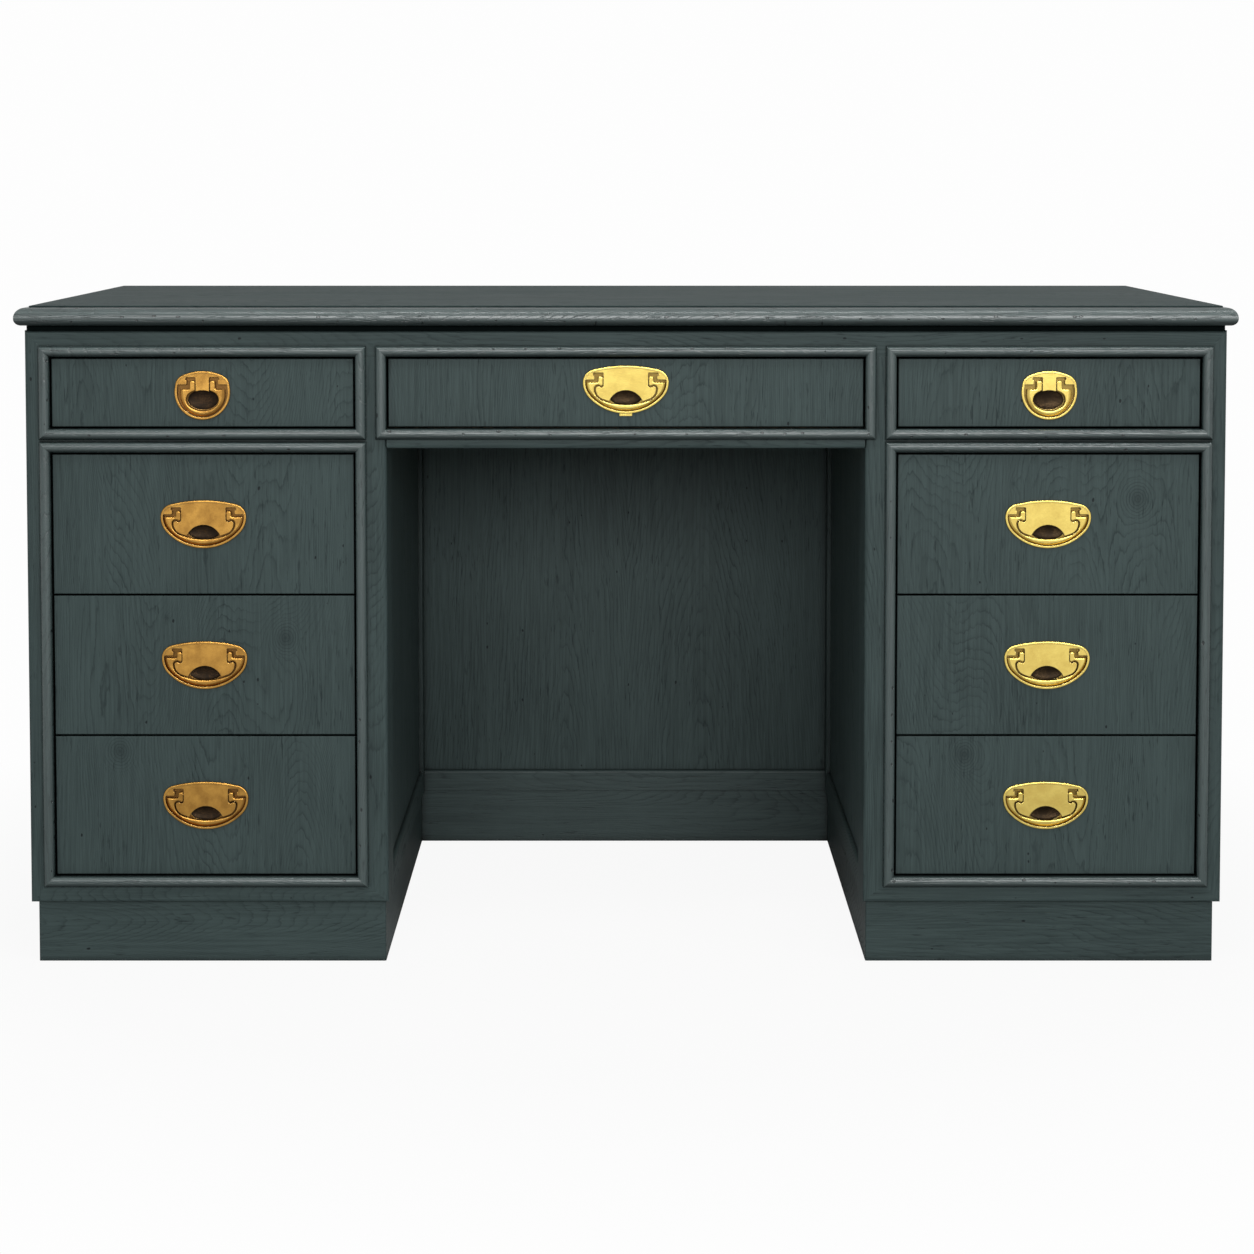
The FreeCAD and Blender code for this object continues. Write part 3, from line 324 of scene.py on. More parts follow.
print("the wood takes", ("Grain", *WOOD_INPUTS), "and gives", [label for label, kind in WOOD_RESULTS])

# %% Stain and oil
# The worn tone lightens edges, crests and the upper sides of round bars: partly worn stain, partly painted
# highlight.
STAIN_TONES = {
    "dark": rgb(0.0265, 0.0405, 0.0400),
    "light": rgb(0.0394, 0.059, 0.0580),
    "fibre": rgb(0.0517, 0.076, 0.0745),
    "worn": rgb(0.118, 0.158, 0.154),
    "ring": rgb(0.009, 0.015, 0.016),
    "pore": rgb(0.007, 0.012, 0.013),
    "nick": rgb(0.004, 0.006, 0.007),
}
OIL_TONES = {
    "dark": rgb(0.33, 0.20, 0.095),
    "light": rgb(0.44, 0.28, 0.145),
    "fibre": rgb(0.50, 0.34, 0.19),
    "worn": rgb(0.55, 0.39, 0.23),
    "ring": rgb(0.20, 0.105, 0.045),
    "pore": rgb(0.16, 0.085, 0.038),
    "nick": rgb(0.12, 0.06, 0.03),
}
stained_grain = make_wood("stained_grain", STAIN_TONES, sheen=0.40)
oiled_grain = make_wood("oiled_grain", OIL_TONES, sheen=0.45)
print("wood groups:", stained_grain.name, oiled_grain.name)

# %% [markdown]
# ## Which way the grain runs
#
# A joiner runs the grain along each board: up a stile, across a rail, up the drawer fronts.
# A node may hold several boards, such as the four mitred bars of a bead frame. They could be split into
# separate objects, but the frame's meshes stay as they are. So the finish decides by place: a spot belongs
# to the bar whose outer edge is nearer, measured in bar widths, which changes over exactly at the mitre.

# %% Grain of single boards
SIDE_ON = 0.7


def upright(f, place, normal):
    x, y, z = f.split(place)
    return f.join(x, z, y)


def across_front(f, place, normal):
    x, y, z = f.split(place)
    return f.join(z, x, y)


def along_top(f, place, normal):
    x, y, z = f.split(place)
    return f.join(y, x, z)


def by_face(f, place, normal):
    """Loose boards of a box or plinth: the grain lies level, along whichever face shows."""
    x, y, z = f.split(place)
    facing = f.math("ABSOLUTE", f.split(normal)[0])
    return f.choose(f.math("GREATER_THAN", facing, SIDE_ON), f.join(f.total(z, y), x, y), f.join(z, y, x))


print("grains of single boards:", [grain.__name__ for grain in (upright, across_front, along_top, by_face)])

# %% Grain of frames
PANEL_STILE, PANEL_LOW_RAIL, PANEL_HIGH_RAIL = 0.050, 0.0307, 0.062


def nearest_edge(f, value, edges):
    """Distance to the nearest of some edge lines, each counted in widths of its own bar."""
    nearest = None
    for line, width in edges:
        gap = f.scaled(f.math("ABSOLUTE", f.math("SUBTRACT", value, line)), 1.0 / width)
        nearest = gap if nearest is None else f.math("MINIMUM", nearest, gap)
    return nearest


def mitred_front(x_edges, z_edges, has_mid_rail=False):
    """Bars round an opening in the front: upright at its sides, lying above and below it."""
    def grain(f, place, normal):
        x, y, z = f.split(place)
        beside = nearest_edge(f, x, x_edges)
        lying = f.math("LESS_THAN", nearest_edge(f, z, z_edges), beside)
        if has_mid_rail:
            lying = f.math("MAXIMUM", lying, f.math("GREATER_THAN", beside, 1.0))
        return f.choose(lying, f.join(x, z, y), f.join(z, x, y))
    return grain


def mitred_top(f, place, normal):
    """The moulding round the top: its grain follows the edge that is nearer."""
    x, y, z = f.split(place)
    at_end = f.math("SUBTRACT", desk_high.x, f.math("ABSOLUTE", x))
    at_front = f.math("SUBTRACT", desk_high.y, f.math("ABSOLUTE", y))
    turned = f.math("LESS_THAN", at_end, at_front)
    return f.choose(turned, f.join(f.total(y, z), x, y), f.join(f.total(x, z), y, x))


def framed_panel(name, is_side):
    """Stiles and a panel with upright grain, and rails between the stiles."""
    low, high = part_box(name)

    def grain(f, place, normal):
        x, y, z = f.split(place)
        along, deep = (y, x) if is_side else (x, y)
        start, end = (low.y, high.y) if is_side else (low.x, high.x)
        between = f.math("GREATER_THAN", nearest_edge(f, along, ((start, 1.0), (end, 1.0))), PANEL_STILE)
        on_low = f.math("LESS_THAN", z, low.z + PANEL_LOW_RAIL)
        on_high = f.math("GREATER_THAN", z, high.z - PANEL_HIGH_RAIL)
        lying = f.scaled(between, f.math("MAXIMUM", on_low, on_high))
        return f.choose(lying, f.join(along, z, deep), f.join(z, along, deep))
    return grain


print("framed panels have stiles", PANEL_STILE * 1000, "mm wide")

# %% [markdown]
# ## Soft arrises, lightened edges and painted corner shade
#
# A cabinet maker takes the sharp arris off every board, and years of hands and dusters rub the stain
# from what is left. Bevelling all sixty meshes would cost many faces for a line a millimetre wide.
# The Bevel node rounds the shading instead. Where its soft normal leaves the true one there is an edge,
# and that same difference lightens the colour there: partly stain rubbed thin, partly a painted highlight
# where a rounded arris would catch the light. The corners get painted shade: the Ambient Occlusion node
# finds them, and the colour is darkened there.

# %% Edges and corners
ARRIS, EDGE_BAND = 0.0011, (0.02, 0.22)
# The corner reach, band and share and the near-black tone paint shade into corners and recesses.
CORNER_REACH, CORNER_BAND, CORNER_SHARE = 0.014, (0.85, 0.30), 0.97
SHADE_AND_STAIN_BLACK = rgb(0.0015, 0.0025, 0.0025)


def soft_edges(f, radius, band):
    """The soft normal near an arris, and how much of an edge a spot is."""
    soft = f.node("ShaderNodeBevel", samples=4)
    soft.inputs["Radius"].default_value = radius
    true = f.node("ShaderNodeNewGeometry").outputs["True Normal"]
    match = f.node("ShaderNodeVectorMath", operation="DOT_PRODUCT")
    f.feed(match.inputs[0], soft.outputs[0])
    f.feed(match.inputs[1], true)
    turned = f.math("SUBTRACT", 1.0, match.outputs["Value"])
    return soft.outputs[0], f.fade(turned, *band)


def openness(f, reach, samples):
    """One on an open face, and less the more a spot is shut in by what is near."""
    shut_in = f.node("ShaderNodeAmbientOcclusion", samples=samples)
    shut_in.inputs["Distance"].default_value = reach
    return shut_in.outputs["AO"]


def painted_corner_shade(f):
    """How much painted shade a shut-in spot gets: the colour is darkened where nearby parts would shade it.
    """
    return f.scaled(f.fade(openness(f, CORNER_REACH, samples=4), *CORNER_BAND), CORNER_SHARE)


print("arris", ARRIS * 1000, "mm, painted shade reaches", CORNER_REACH * 1000, "mm out of a corner")

# %% [markdown]
# ## Knots and hearts
#
# A knot is where a branch left the trunk, and the rings crowd round it. A board that is cut through the
# heart of the trunk shows its rings as tall arches. Neither comes about by chance in the noise, so both
# are added to the ring field: a knot as a swell that falls off from its middle, and a heart as a bow
# over the middle line of its board.

# %% Knots and hearts
HEART_WIDTH, HEART_SPREAD, HEART_RISE = 0.018, 1.7, 0.13
HEART_WANDER, PLAIN_WANDER = 0.25, 1.0


def swirls(f, place, knots):
    """Rings that crowd round the knots of one board, and how near a spot is to a knot."""
    x, y, z = f.split(place)
    rings, nearness = [], 0.0
    for knot_x, knot_z, strength, wide, tall in knots:
        from_x = f.scaled(f.math("SUBTRACT", x, knot_x), 1.0 / wide)
        from_z = f.scaled(f.math("SUBTRACT", z, knot_z), 1.0 / tall)
        gap = f.math("SQRT", f.total(f.scaled(from_x, from_x), f.scaled(from_z, from_z)))
        near = f.math("EXPONENT", f.scaled(gap, -1.0))
        rings.append(f.scaled(near, strength))
        nearness = f.math("MAXIMUM", nearness, near)
    return f.total(*rings), nearness


def heartwood(f, place, middles):
    """Tall arches of rings over the heart of each board of a panel, in place of the field's own tilt."""
    x, y, z = f.split(place)
    spread = None
    for middle in middles:
        away = f.math("SUBTRACT", x, middle)
        bowed = f.math("SQRT", f.math("ADD", f.scaled(away, away), HEART_WIDTH * HEART_WIDTH))
        spread = bowed if spread is None else f.math("MINIMUM", spread, bowed)
    return f.total(f.scaled(spread, HEART_SPREAD), f.scaled(z, HEART_RISE), f.scaled(x, -RING_TILT))


print("the arches of a heart are rounded over", HEART_WIDTH * 1000, "mm")

# %% [markdown]
# ## One board's finish
#
# A finish joins all of these: a stretch of the tree, its grain direction, its knots, and where its colour
# is lightened or darkened. A flat board is lightened at its edges, partly as worn stain and partly as
# painted highlight. The crest of a bead is lightened the same way, which its depth tells. Round bars get a
# painted highlight above and painted shade below, which their normal tells, and there the painted shade
# also dulls the gloss. One function with a few settings serves the whole desk.

# %% One board's finish
# Crests are lightened as wear and painted highlight. The upper sides of round bars get a painted highlight,
# and their undersides get painted shade.
CREST_DEPTH, CREST_WEAR_AND_HIGHLIGHT = 0.0018, 0.10
UPPER_START, UPPER_END, UPPER_HIGHLIGHT = (0.15, 0.45), (0.95, 0.75), 0.38
UNDER_BAND, UNDER_SHADE = (0.05, -0.60), 0.65
PORE_RELIEF = 0.0004


def embossed(f, height, soft, strength, depth):
    """The soft normal with a pattern of heights pressed into it."""
    bump = f.node("ShaderNodeBump")
    bump.inputs["Strength"].default_value = strength
    bump.inputs["Distance"].default_value = depth
    f.feed(bump.inputs["Height"], height)
    f.feed(bump.inputs["Normal"], soft)
    return bump.outputs[0]


def shade(f, color, roughness, normal):
    """End a finish in a shader."""
    shader = f.node("ShaderNodeBsdfPrincipled")
    for label, value in (("Base Color", color), ("Roughness", roughness), ("Normal", normal)):
        f.feed(shader.inputs[label], value)
    f.feed(f.node("ShaderNodeOutputMaterial").inputs[0], shader.outputs[0])
    return shader


def wood_finish(name, group, grain, plank, knots=(), hearts=(), crest=None, is_round=False,
                nick_share=0.05, edge_wear_and_highlight=0.6, gloss=0.12, polish=0.0, relief=0.35, darker=0.07):
    """One board's finish: its own stretch of the tree, its knots, dents, edges lightened as worn stain and
    painted highlight, and painted shade in its corners.
    """
    material, f = new_finish(name)
    coordinates = f.node("ShaderNodeTexCoord")
    place, normal = coordinates.outputs["Object"], coordinates.outputs["Normal"]
    wood = f.node("ShaderNodeGroup", node_tree=group)
    f.feed(wood.inputs["Grain"], f.vector("ADD", grain(f, place, normal), plank))
    if knots:
        swirl, nearness = swirls(f, place, knots)
        f.feed(wood.inputs["Swirl"], swirl)
        f.feed(wood.inputs["Knot"], nearness)
    if hearts:
        f.feed(wood.inputs["Swirl"], heartwood(f, place, hearts))
    wood.inputs["Wander"].default_value = HEART_WANDER if hearts else PLAIN_WANDER
    wood.inputs["Nicks"].default_value = nick_share
    soft, edge = soft_edges(f, ARRIS, EDGE_BAND)
    # Edges are lightened: partly worn stain, partly painted highlight.
    worn = f.scaled(edge, edge_wear_and_highlight)
    # dark: painted shade in corners, plus darker, a flat darkening of the stain, which on the spacer is
    # painted shade.
    dark = f.math("MAXIMUM", painted_corner_shade(f), darker)
    # Bead crests are lightened: partly wear, partly painted highlight.
    if crest is not None:
        rubbed_and_lit = f.fade(f.split(place)[1], crest + CREST_DEPTH, crest)
        worn = f.math("MAXIMUM", worn, f.scaled(rubbed_and_lit, CREST_WEAR_AND_HIGHLIGHT))
    # Painted highlight on the upper side of round bars and painted shade below, from the normal. The
    # painted shade also dulls the gloss.
    if is_round:
        tilt = f.split(normal)[2]
        lit_above = f.scaled(f.fade(tilt, *UPPER_START), f.fade(tilt, *UPPER_END))
        worn = f.math("MAXIMUM", worn, f.scaled(lit_above, UPPER_HIGHLIGHT))
        dark = f.math("MAXIMUM", dark, f.fade(tilt, *UNDER_BAND, 0.0, UNDER_SHADE))
    f.feed(wood.inputs["WornAndLit"], worn)
    color = f.blend(dark, wood.outputs["Color"], SHADE_AND_STAIN_BLACK)
    rough = f.math("SUBTRACT", wood.outputs["Roughness"], polish)
    shader = shade(f, color, rough, embossed(f, wood.outputs["Height"], soft, relief, PORE_RELIEF))
    shine = f.scaled(f.math("SUBTRACT", 1.0, dark), gloss) if is_round else gloss * (1.0 - darker)
    f.feed(shader.inputs["Specular IOR Level"], shine)
    return material


print("round bars: painted highlight", UPPER_HIGHLIGHT, "above, painted shade", UNDER_SHADE, "below")

# %% [markdown]
# ## The drawer fronts
#
# The nine fronts have upright grain, each from another plank, and four of them show knots. A plank of
# its own is a shift: the front reads the same endless tree at another place. The knots are named
# by where they sit on the front, with their strength and their size across and up.

# %% Drawer fronts
FRONT_PLANKS = {
    "left_drawer_top": (9.7, 6.1, 0.4),
    "centre_drawer": (11.2, 7.3, 0.7),
    "right_drawer_top": (12.9, 8.2, 0.2),
    "left_drawer_1": (0.13, 0.2, 0.0),
    "left_drawer_2": (1.31, 0.9, 0.3),
    "left_drawer_3": (2.87, 1.3, 0.6),
    "right_drawer_1": (3.93, 2.3, 0.2),
    "right_drawer_2": (5.17, 3.1, 0.5),
    "right_drawer_3": (7.42, 4.9, 0.8),
}
KNOTS = {
    "left_drawer_2": ((-0.392, 0.379, 0.075, 0.028, 0.034), (-0.528, 0.402, 0.02, 0.006, 0.008)),
    "left_drawer_3": ((-0.584, 0.247, 0.090, 0.028, 0.034), (-0.440, 0.230, 0.015, 0.005, 0.007)),
    "right_drawer_1": ((0.588, 0.540, 0.075, 0.028, 0.034), (0.445, 0.557, 0.02, 0.006, 0.008)),
    "right_drawer_3": ((0.391, 0.2435, 0.100, 0.028, 0.034),),
}
for drawer, plank in FRONT_PLANKS.items():
    front = drawer + "_front"
    dress(front, wood_finish(front, stained_grain, upright, plank, KNOTS.get(drawer, ()), edge_wear_and_highlight=0.9))
print("drawer fronts:", len(FRONT_PLANKS), "with knots on", len(KNOTS))

# %% [markdown]
# ## Face frame and beads
#
# The face frame is stiles and rails with mitred corners, and round each opening lies a half-round bead,
# mitred too. Beads stand proud, so they carry most of the knocks: they get more dents and lighter edges,
# partly wear and partly painted highlight, and hands keep them polished. Boards that are made alike come
# from planks that lie side by side in the tree.

# %% Face frame
FRAME_PLANK, RAIL_PLANK = (14.1, 9.3, 0.5), (19.5, 11.4, 0.6)
OUTER_STILE, INNER_STILE, BOTTOM_RAIL = 0.0282, 0.0357, 0.0307
FRAME_NICKS = 0.1


def plank_beside(plank, metres):
    """The plank that lies so many metres beside another in the tree."""
    across, along, into = plank
    return (across + metres, along, into)


for step, side in enumerate(("left", "right")):
    name = side + "_face_frame"
    low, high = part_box(name)
    outer, inner = (low.x, high.x) if side == "left" else (high.x, low.x)
    frame_grain = mitred_front(
        ((outer, OUTER_STILE), (inner, INNER_STILE)), ((low.z, BOTTOM_RAIL),), has_mid_rail=True)
    plank = plank_beside(FRAME_PLANK, step)
    dress(name, wood_finish(name, stained_grain, frame_grain, plank, nick_share=FRAME_NICKS))
for step, name in enumerate(("front_top_rail", "apron_rail")):
    plank = plank_beside(RAIL_PLANK, step)
    dress(name, wood_finish(name, stained_grain, across_front, plank, nick_share=FRAME_NICKS))
print("face frame dressed, outer stile", OUTER_STILE * 1000, "mm wide")

# %% Beads
BEAD_PLANK, CENTRE_BEAD_PLANK = (16.4, 10.2, 0.1), (18.8, 10.9, 0.3)
BEAD_WIDTH = 0.0125


def dress_bead(name, plank, rails=()):
    """A node of mitred beads: its outer bars, and any rail between two of its openings."""
    low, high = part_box(name)
    lying = [(level, BEAD_WIDTH) for level in (low.z, high.z, *rails)]
    bead_grain = mitred_front(((low.x, BEAD_WIDTH), (high.x, BEAD_WIDTH)), lying)
    dress(name, wood_finish(
        name, stained_grain, bead_grain, plank, crest=low.y, is_round=True,
        nick_share=0.55, edge_wear_and_highlight=0.9, gloss=0.55, polish=0.20, relief=0.9))


for step, side in enumerate(("left", "right")):
    lower_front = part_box(side + "_drawer_1_front")[1].z
    upper_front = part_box(side + "_drawer_top_front")[0].z
    dress_bead(side + "_beads", plank_beside(BEAD_PLANK, step), rails=[(lower_front + upper_front) / 2])
dress_bead("centre_bead", CENTRE_BEAD_PLANK)
print("beads dressed,", BEAD_WIDTH * 1000, "mm wide")

# %% [markdown]
# ## Top and its moulding
#
# The top is seen at a low angle, where any polish would turn it into a mirror. On the real desk
# it is the most worn surface and nearly matt, so it has next to no gloss here. Its bullnose moulding takes
# more knocks than any other edge. The spacer under it lies in deep shade and is painted almost black, as
# painted shade.

# %% Top and moulding
TOP_PLANK, MOULDING_PLANK, SPACER_PLANK = (21.7, 12.5, 0.2), (22.9, 13.1, 0.4), (24.3, 13.8, 0.6)
dress("desk_top", wood_finish("desk_top", stained_grain, along_top, TOP_PLANK, gloss=0.008))
dress("top_moulding", wood_finish(
    "top_moulding", stained_grain, mitred_top, MOULDING_PLANK,
    is_round=True, nick_share=0.75, edge_wear_and_highlight=0.8, gloss=0.65, polish=0.18, relief=1.2))
# The spacer is painted almost black: painted shade.
dress("top_spacer", wood_finish(
    "top_spacer", stained_grain, across_front, SPACER_PLANK, gloss=0.0, darker=0.97))
print("top and moulding dressed")

# %% [markdown]
# ## Sides, kneehole and plinths
#
# The sides and backs are framed panels, and the kneehole ends in a panel between two rails. That panel is
# glued up from two boards, each with its heart in the middle. Less light reaches the panels and the
# boards of the kneehole, so their colour is painted a shade lighter than on the fronts: painted light.

# %% Sides, kneehole and plinths
SIDE_PLANK, PLINTH_PLANK = (25.3, 14.6, 0.3), (31.6, 15.9, 0.1)
PANEL_PLANK, LOW_PLANK = (8.3, 5.0, 0.1), (34.2, 16.7, 0.2)
PANELS = ("outer_side", "inner_side", "back")
PANEL_HEARTS = (-0.091, 0.099)
LOW_BOARD_GLOSS = {"modesty_rails": 0.2, "knee_plinth": 0.2, "pedestal_floors": 0.12}

# darker=0.0 leaves these boards a shade lighter than the fronts: painted light.
for step, side in enumerate(("left", "right")):
    for place, panel in enumerate(PANELS):
        name = f"{side}_{panel}"
        across, along, into = plank_beside(SIDE_PLANK, step * len(PANELS) + place)
        grain = framed_panel(name, is_side=panel != "back")
        dress(name, wood_finish(name, stained_grain, grain, (across, along + place, into), darker=0.0))
    name = side + "_plinth"
    dress(name, wood_finish(name, stained_grain, by_face, plank_beside(PLINTH_PLANK, step), edge_wear_and_highlight=0.9))

# darker=0.0 here too: painted light, a shade lighter than the fronts.
dress("modesty_panel", wood_finish(
    "modesty_panel", stained_grain, upright, PANEL_PLANK, hearts=PANEL_HEARTS, darker=0.0))
for step, (name, gloss) in enumerate(LOW_BOARD_GLOSS.items()):
    plank = plank_beside(LOW_PLANK, step)
    dress(name, wood_finish(name, stained_grain, across_front, plank, edge_wear_and_highlight=0.9, gloss=gloss, darker=0.0))
print("sides, kneehole and plinths dressed")

# %% [markdown]
# ## Drawer boxes and runners
#
# Inside, nothing is stained: the boxes and their runners are plain oiled hardwood, dovetailed at the
# corners. They use the same solid wood with warmer tones, laid level along each board.

# %% Drawer boxes and runners
BOX_PLANK, RUNNER_PLANK = (0.7, 2.1, 0.4), (13.3, 2.9, 0.6)
BOX_STEP = 1.3
for step, drawer in enumerate(FRONT_PLANKS):
    name = drawer + "_box"
    dress(name, wood_finish(name, oiled_grain, by_face, plank_beside(BOX_PLANK, step * BOX_STEP), edge_wear_and_highlight=0.5))
dress("drawer_runners", wood_finish("drawer_runners", oiled_grain, by_face, RUNNER_PLANK, edge_wear_and_highlight=0.5))
print("drawer boxes:", len(FRONT_PLANKS))

# %% [markdown]
# ## Brass
#
# The pulls are cast brass, let in flush with the fronts. Polish reaches the rims, the flats and the front
# of the bail. In the corners and the finger cups it never does, and there the metal goes brown and
# then black, with a little coppery speckle. Painting that by hand would have to follow every outline. Two
# things find it by themselves: the Ambient Occlusion node tells how shut in a spot is, and the depth
# behind the drawer front tells when a spot lies in the recess or the cup.

# %% Brass
FRONT_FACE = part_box("left_drawer_1_front")[0].y
SLOPE, SLOPE_SHARE = (-0.0014, 0.0006), 0.7
SUNK, SUNK_SHARE = (0.0018, 0.0035), 0.55
CUP, CUP_ROUGHNESS = (0.0055, 0.0060), 0.12
CLOUD_WAVES, CLOUD_BAND = (70.0, 70.0, 70.0), (0.35, 0.65)
SPECK_WAVES, SPECK_BAND, SPECK_SHARE = (1500.0, 1500.0, 1500.0), (0.58, 0.70), 0.35
SCRATCH_WAVES, SCRATCH_ROUGHNESS = (300.0, 300.0, 2600.0), 0.10
COPPER_SPECK, COPPER_CLOUD = (0.52, 0.66), (0.40, 0.60)
CREVICE, CREVICE_BAND, CREVICE_CLOUD, CREVICE_ROUGHNESS = 0.0045, (0.98, 0.45), 0.25, 0.15
RIM_ARRIS, RIM_BAND, RIM_SHARE = 0.0008, (0.04, 0.25), 0.8
SCRATCH_RELIEF, SCRATCH_DEPTH, SPECK_HEIGHT = 0.15, 0.0001, 0.5


def brass_finish(name, tones, roughness):
    """Polished brass that ages to brown in its corners and to black in the finger cup."""
    material, f = new_finish(name)
    place = f.node("ShaderNodeTexCoord").outputs["Object"]
    depth = f.math("SUBTRACT", f.split(place)[1], FRONT_FACE)
    cloud = f.noise(place, CLOUD_WAVES, detail=4.0, roughness=0.6)
    speck = f.noise(place, SPECK_WAVES, detail=2.0, roughness=0.7)
    scratch = f.noise(place, SCRATCH_WAVES, detail=2.0, roughness=0.6)
    soft, edge = soft_edges(f, RIM_ARRIS, RIM_BAND)
    clear = f.total(openness(f, CREVICE, samples=6), f.scaled(cloud, CREVICE_CLOUD))
    sloping = f.scaled(f.fade(depth, *SLOPE), SLOPE_SHARE)
    brown = f.math("MAXIMUM", f.fade(clear, *CREVICE_BAND), sloping)
    in_cup = f.fade(depth, *CUP)
    color = f.blend(f.fade(cloud, *CLOUD_BAND), tones["bright"], tones["dull"])
    color = f.blend(f.scaled(f.fade(speck, *SPECK_BAND), SPECK_SHARE), color, tones["brown"])
    color = f.blend(brown, color, tones["brown"])
    color = f.blend(f.fade(depth, *SUNK, 0.0, SUNK_SHARE), color, tones["black"])
    copper = f.scaled(f.fade(speck, *COPPER_SPECK), f.fade(cloud, *COPPER_CLOUD))
    color = f.blend(in_cup, color, f.blend(copper, tones["black"], tones["copper"]))
    # The rims are lightened along their arrises: partly polish, partly painted highlight.
    color = f.blend(f.scaled(edge, RIM_SHARE), color, tones["rim"])
    rough = f.total(
        roughness, f.scaled(brown, CREVICE_ROUGHNESS),
        f.scaled(scratch, SCRATCH_ROUGHNESS), f.scaled(in_cup, CUP_ROUGHNESS))
    height = f.total(scratch, f.scaled(speck, SPECK_HEIGHT))
    shader = shade(f, color, rough, embossed(f, height, soft, SCRATCH_RELIEF, SCRATCH_DEPTH))
    shader.inputs["Metallic"].default_value = 1.0
    return material


print("drawer fronts at", round(FRONT_FACE * 1000, 1), "mm, finger cups from", CUP[0] * 1000, "mm behind")

# %% [markdown]
# ## Three brasses
#
# The pulls on the left have aged to a browner gold. The one in the centre has the tones of those on the
# right at a smaller share: partly a duller tone of its own, partly painted shade that offsets the stronger
# reflection of the front light in it. All three are the same finish with other tones.

# %% Brass pulls
ANTIQUE_TONES = {
    "bright": rgb(0.50, 0.27, 0.060),
    "dull": rgb(0.33, 0.168, 0.037),
    "rim": rgb(0.84, 0.56, 0.22),
    "brown": rgb(0.21, 0.098, 0.026),
    "black": rgb(0.014, 0.010, 0.007),
    "copper": rgb(0.10, 0.055, 0.025),
}
BRIGHT_TONES = {
    "bright": rgb(0.80, 0.62, 0.165),
    "dull": rgb(0.68, 0.50, 0.125),
    "rim": rgb(0.94, 0.80, 0.38),
    "brown": rgb(0.22, 0.125, 0.030),
    "black": rgb(0.016, 0.011, 0.007),
    "copper": rgb(0.11, 0.068, 0.032),
}
# The centre brass is the bright brass dimmed: partly its own duller tone, partly painted shade against the
# front light's reflection.
CENTRE_DIMMING = 0.88
CENTRE_TONES = {
    name: rgb(*(CENTRE_DIMMING * level for level in tone[:3])) for name, tone in BRIGHT_TONES.items()}
brasses = {
    "left": brass_finish("antique_brass", ANTIQUE_TONES, roughness=0.20),
    "centre": brass_finish("centre_brass", CENTRE_TONES, roughness=0.16),
    "right": brass_finish("bright_brass", BRIGHT_TONES, roughness=0.16),
}
for drawer in FRONT_PLANKS:
    metal = brasses[drawer.split("_")[0]]
    dress(drawer + "_pull_plate", metal)
    dress(drawer + "_pull_bail", metal)
dress("centre_pull_lip", brasses["centre"])
print("brass pulls:", len(FRONT_PLANKS), "pieces without a finish:", sorted(set(nodes) - dressed))

# %% [markdown]
# ## Floor and background
#
# The desk stands on a white sweep that runs out to a white background. Flooding it with lamps until it
# turns white would also wash out the dark wood. Instead the floor and the world are white to the camera
# and in reflections, through the Light Path node, and light the desk at a plain level. Near the desk a
# share of true diffuse stays in the floor, so the desk keeps its soft shadow, and reflections see the
# floor's true tone there, so the undersides of the beads stay dark. Both fade out with the distance.

# %% Floor
WHITE, FLOOR_TONE = rgb(0.985, 0.985, 0.985), rgb(0.80, 0.80, 0.80)
FLOOR_SIZE, FLOOR_GAP = 24.0, 0.0004
FLOOR_SHADOW_SHARE = 0.06
SHADOW_START, SHADOW_END, MIRROR_END = 0.75, 1.25, 2.0


def direct_rays(f):
    """Two tests of a ray: it comes from the camera, or from a mirror or through glass."""
    path = f.node("ShaderNodeLightPath")
    mirrored = f.math("MAXIMUM", path.outputs["Is Glossy Ray"], path.outputs["Is Transmission Ray"])
    return path.outputs["Is Camera Ray"], mirrored


def white_sweep():
    """A matt floor near the desk, which turns plain white further out."""
    material, f = new_finish("white_sweep")
    matt = f.node("ShaderNodeBsdfDiffuse")
    matt.inputs["Color"].default_value = FLOOR_TONE
    glow = f.node("ShaderNodeEmission")
    glow.inputs["Color"].default_value = WHITE
    away = f.node("ShaderNodeVectorMath", operation="LENGTH")
    f.feed(away.inputs[0], f.node("ShaderNodeTexCoord").outputs["Object"])
    plain = f.fade(away.outputs["Value"], SHADOW_START, SHADOW_END, 1.0 - FLOOR_SHADOW_SHARE, 1.0)
    distant = f.fade(away.outputs["Value"], SHADOW_END, MIRROR_END)
    seen, mirrored = direct_rays(f)
    share = f.math("MAXIMUM", f.scaled(seen, plain), f.scaled(mirrored, distant))
    mixed = f.run(f.node("ShaderNodeMixShader"), (share, matt.outputs[0], glow.outputs[0]))
    f.feed(f.node("ShaderNodeOutputMaterial").inputs[0], mixed)
    return material


shape = bmesh.new()
bmesh.ops.create_grid(shape, x_segments=1, y_segments=1, size=FLOOR_SIZE / 2)
bmesh.ops.translate(shape, verts=shape.verts, vec=(0.0, 0.0, desk_low.z - FLOOR_GAP))
mesh = bpy.data.meshes.new("studio_floor")
shape.to_mesh(mesh)
shape.free()
mesh.materials.append(white_sweep())
floor = bpy.data.objects.new("studio_floor", mesh)
bpy.context.scene.collection.objects.link(floor)
print("floor", FLOOR_SIZE, "m wide")

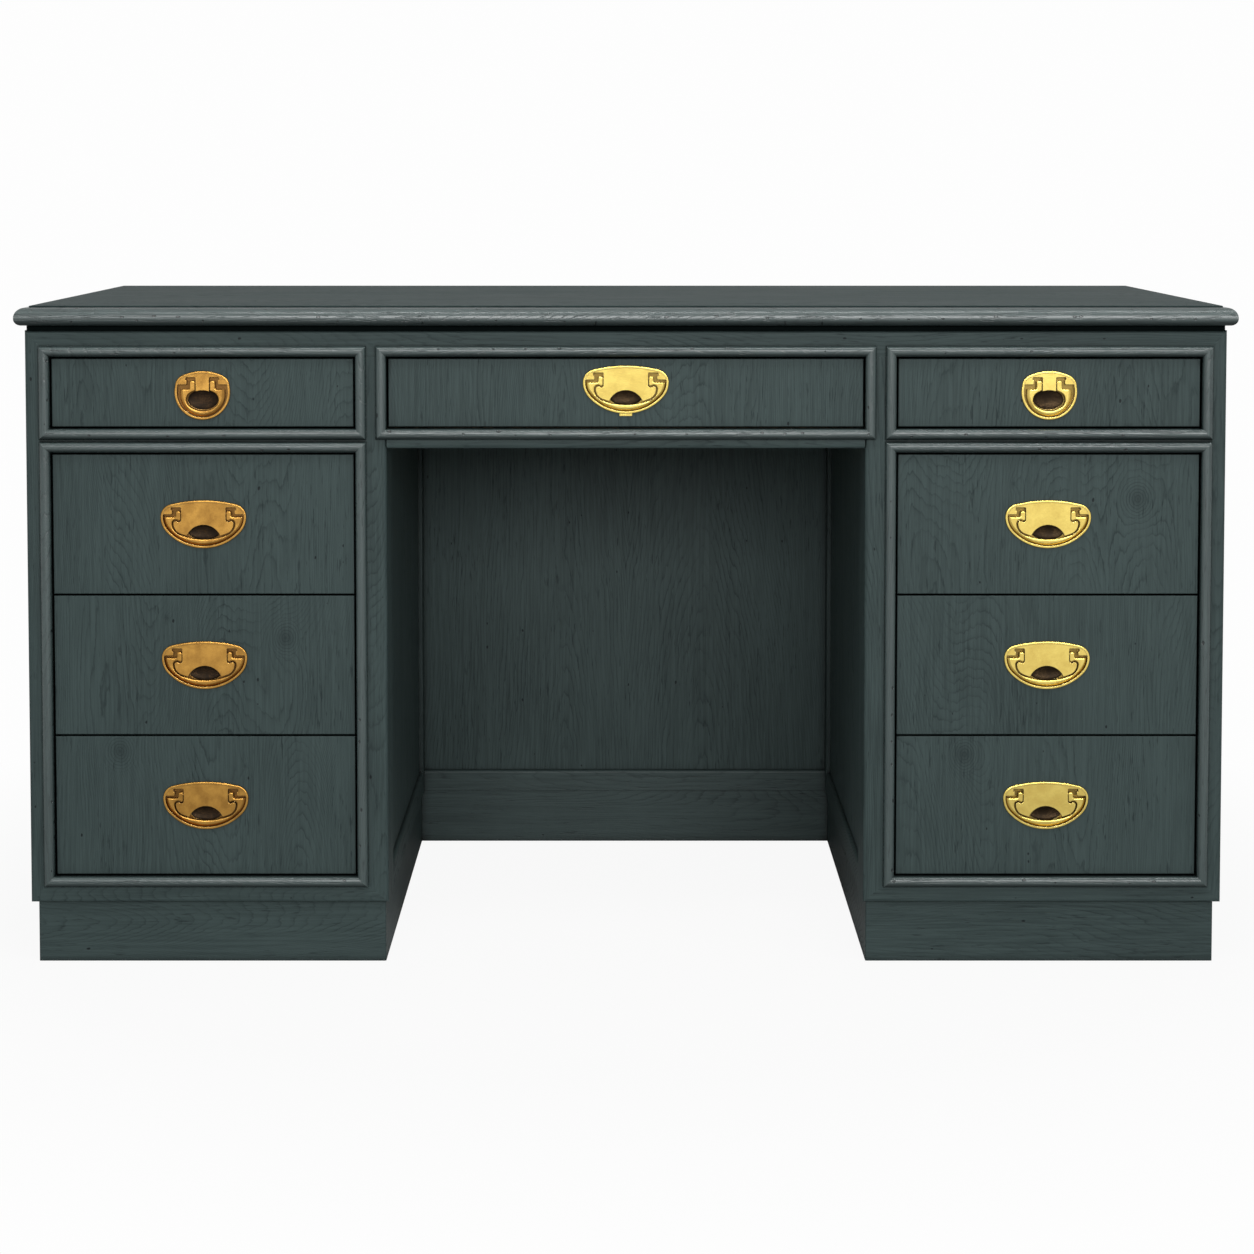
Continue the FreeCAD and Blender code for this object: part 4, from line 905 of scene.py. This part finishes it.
# %% World
FILL = 0.28
world = bpy.data.worlds.new("white_studio")
world.use_nodes = True
world.node_tree.nodes.clear()
f = Finish(world.node_tree)
sky = f.node("ShaderNodeBackground")
sky.inputs["Color"].default_value = WHITE
f.feed(sky.inputs["Strength"], f.fade(f.math("MAXIMUM", *direct_rays(f)), 0.0, 1.0, FILL, 1.0))
f.feed(f.node("ShaderNodeOutputWorld").inputs[0], sky.outputs[0])
bpy.context.scene.world = world
print("fill light", FILL)

# %% [markdown]
# ## Light
#
# The desk is lit like a catalogue picture: one broad soft light from far in front, above and a little to
# the right, which reaches into the kneehole, and a narrow one overhead. Together they leave a highlight
# along the bullnose and on the upper side of each bead.

# %% Lamps
def soft_box(name, place, target, size, watts):
    lamp = bpy.data.lights.new(name, "AREA")
    lamp.shape = "RECTANGLE"
    lamp.size, lamp.size_y = size
    lamp.energy = watts
    stand = bpy.data.objects.new(name, lamp)
    stand.location = place
    stand.rotation_euler = (Vector(target) - Vector(place)).to_track_quat("-Z", "Y").to_euler()
    stand.visible_camera = False
    bpy.context.scene.collection.objects.link(stand)


soft_box("front_light", place=(0.5, -6.5, 2.05), target=(0.0, 0.0, 0.4), size=(4.6, 1.6), watts=270.0)
soft_box("top_light", place=(0.3, -1.3, 2.9), target=(0.0, -0.3, 0.7), size=(2.6, 0.12), watts=28.0)

# %% [markdown]
# ## Camera
#
# The desk is seen square on from a little above the top, with a long lens. The camera looks down by about
# three and a half degrees, and the lens shift brings the desk back to its place in the picture.

# %% Camera
EYE_PLACE, LOOK_DOWN = (-0.008, -3.6, 0.905), 0.06
scene = bpy.context.scene
eye = bpy.data.cameras.new("photo_camera")
eye.sensor_width = 36.0
eye.lens = 82.5
eye.shift_x = 0.0065
eye.shift_y = -0.2184
camera = bpy.data.objects.new("photo_camera", eye)
camera.location = EYE_PLACE
camera.rotation_euler = (math.pi / 2 - LOOK_DOWN, 0.0, 0.0)
scene.collection.objects.link(camera)
scene.camera = camera
scene.view_settings.view_transform = "Standard"
print("camera at", EYE_PLACE, "lens", eye.lens, "mm, down by", round(math.degrees(LOOK_DOWN), 1), "degrees")

# %% [markdown] ## Keep the sizes The finish must not change the desk's measures. The box of the solids
# is taken when the frame is loaded.
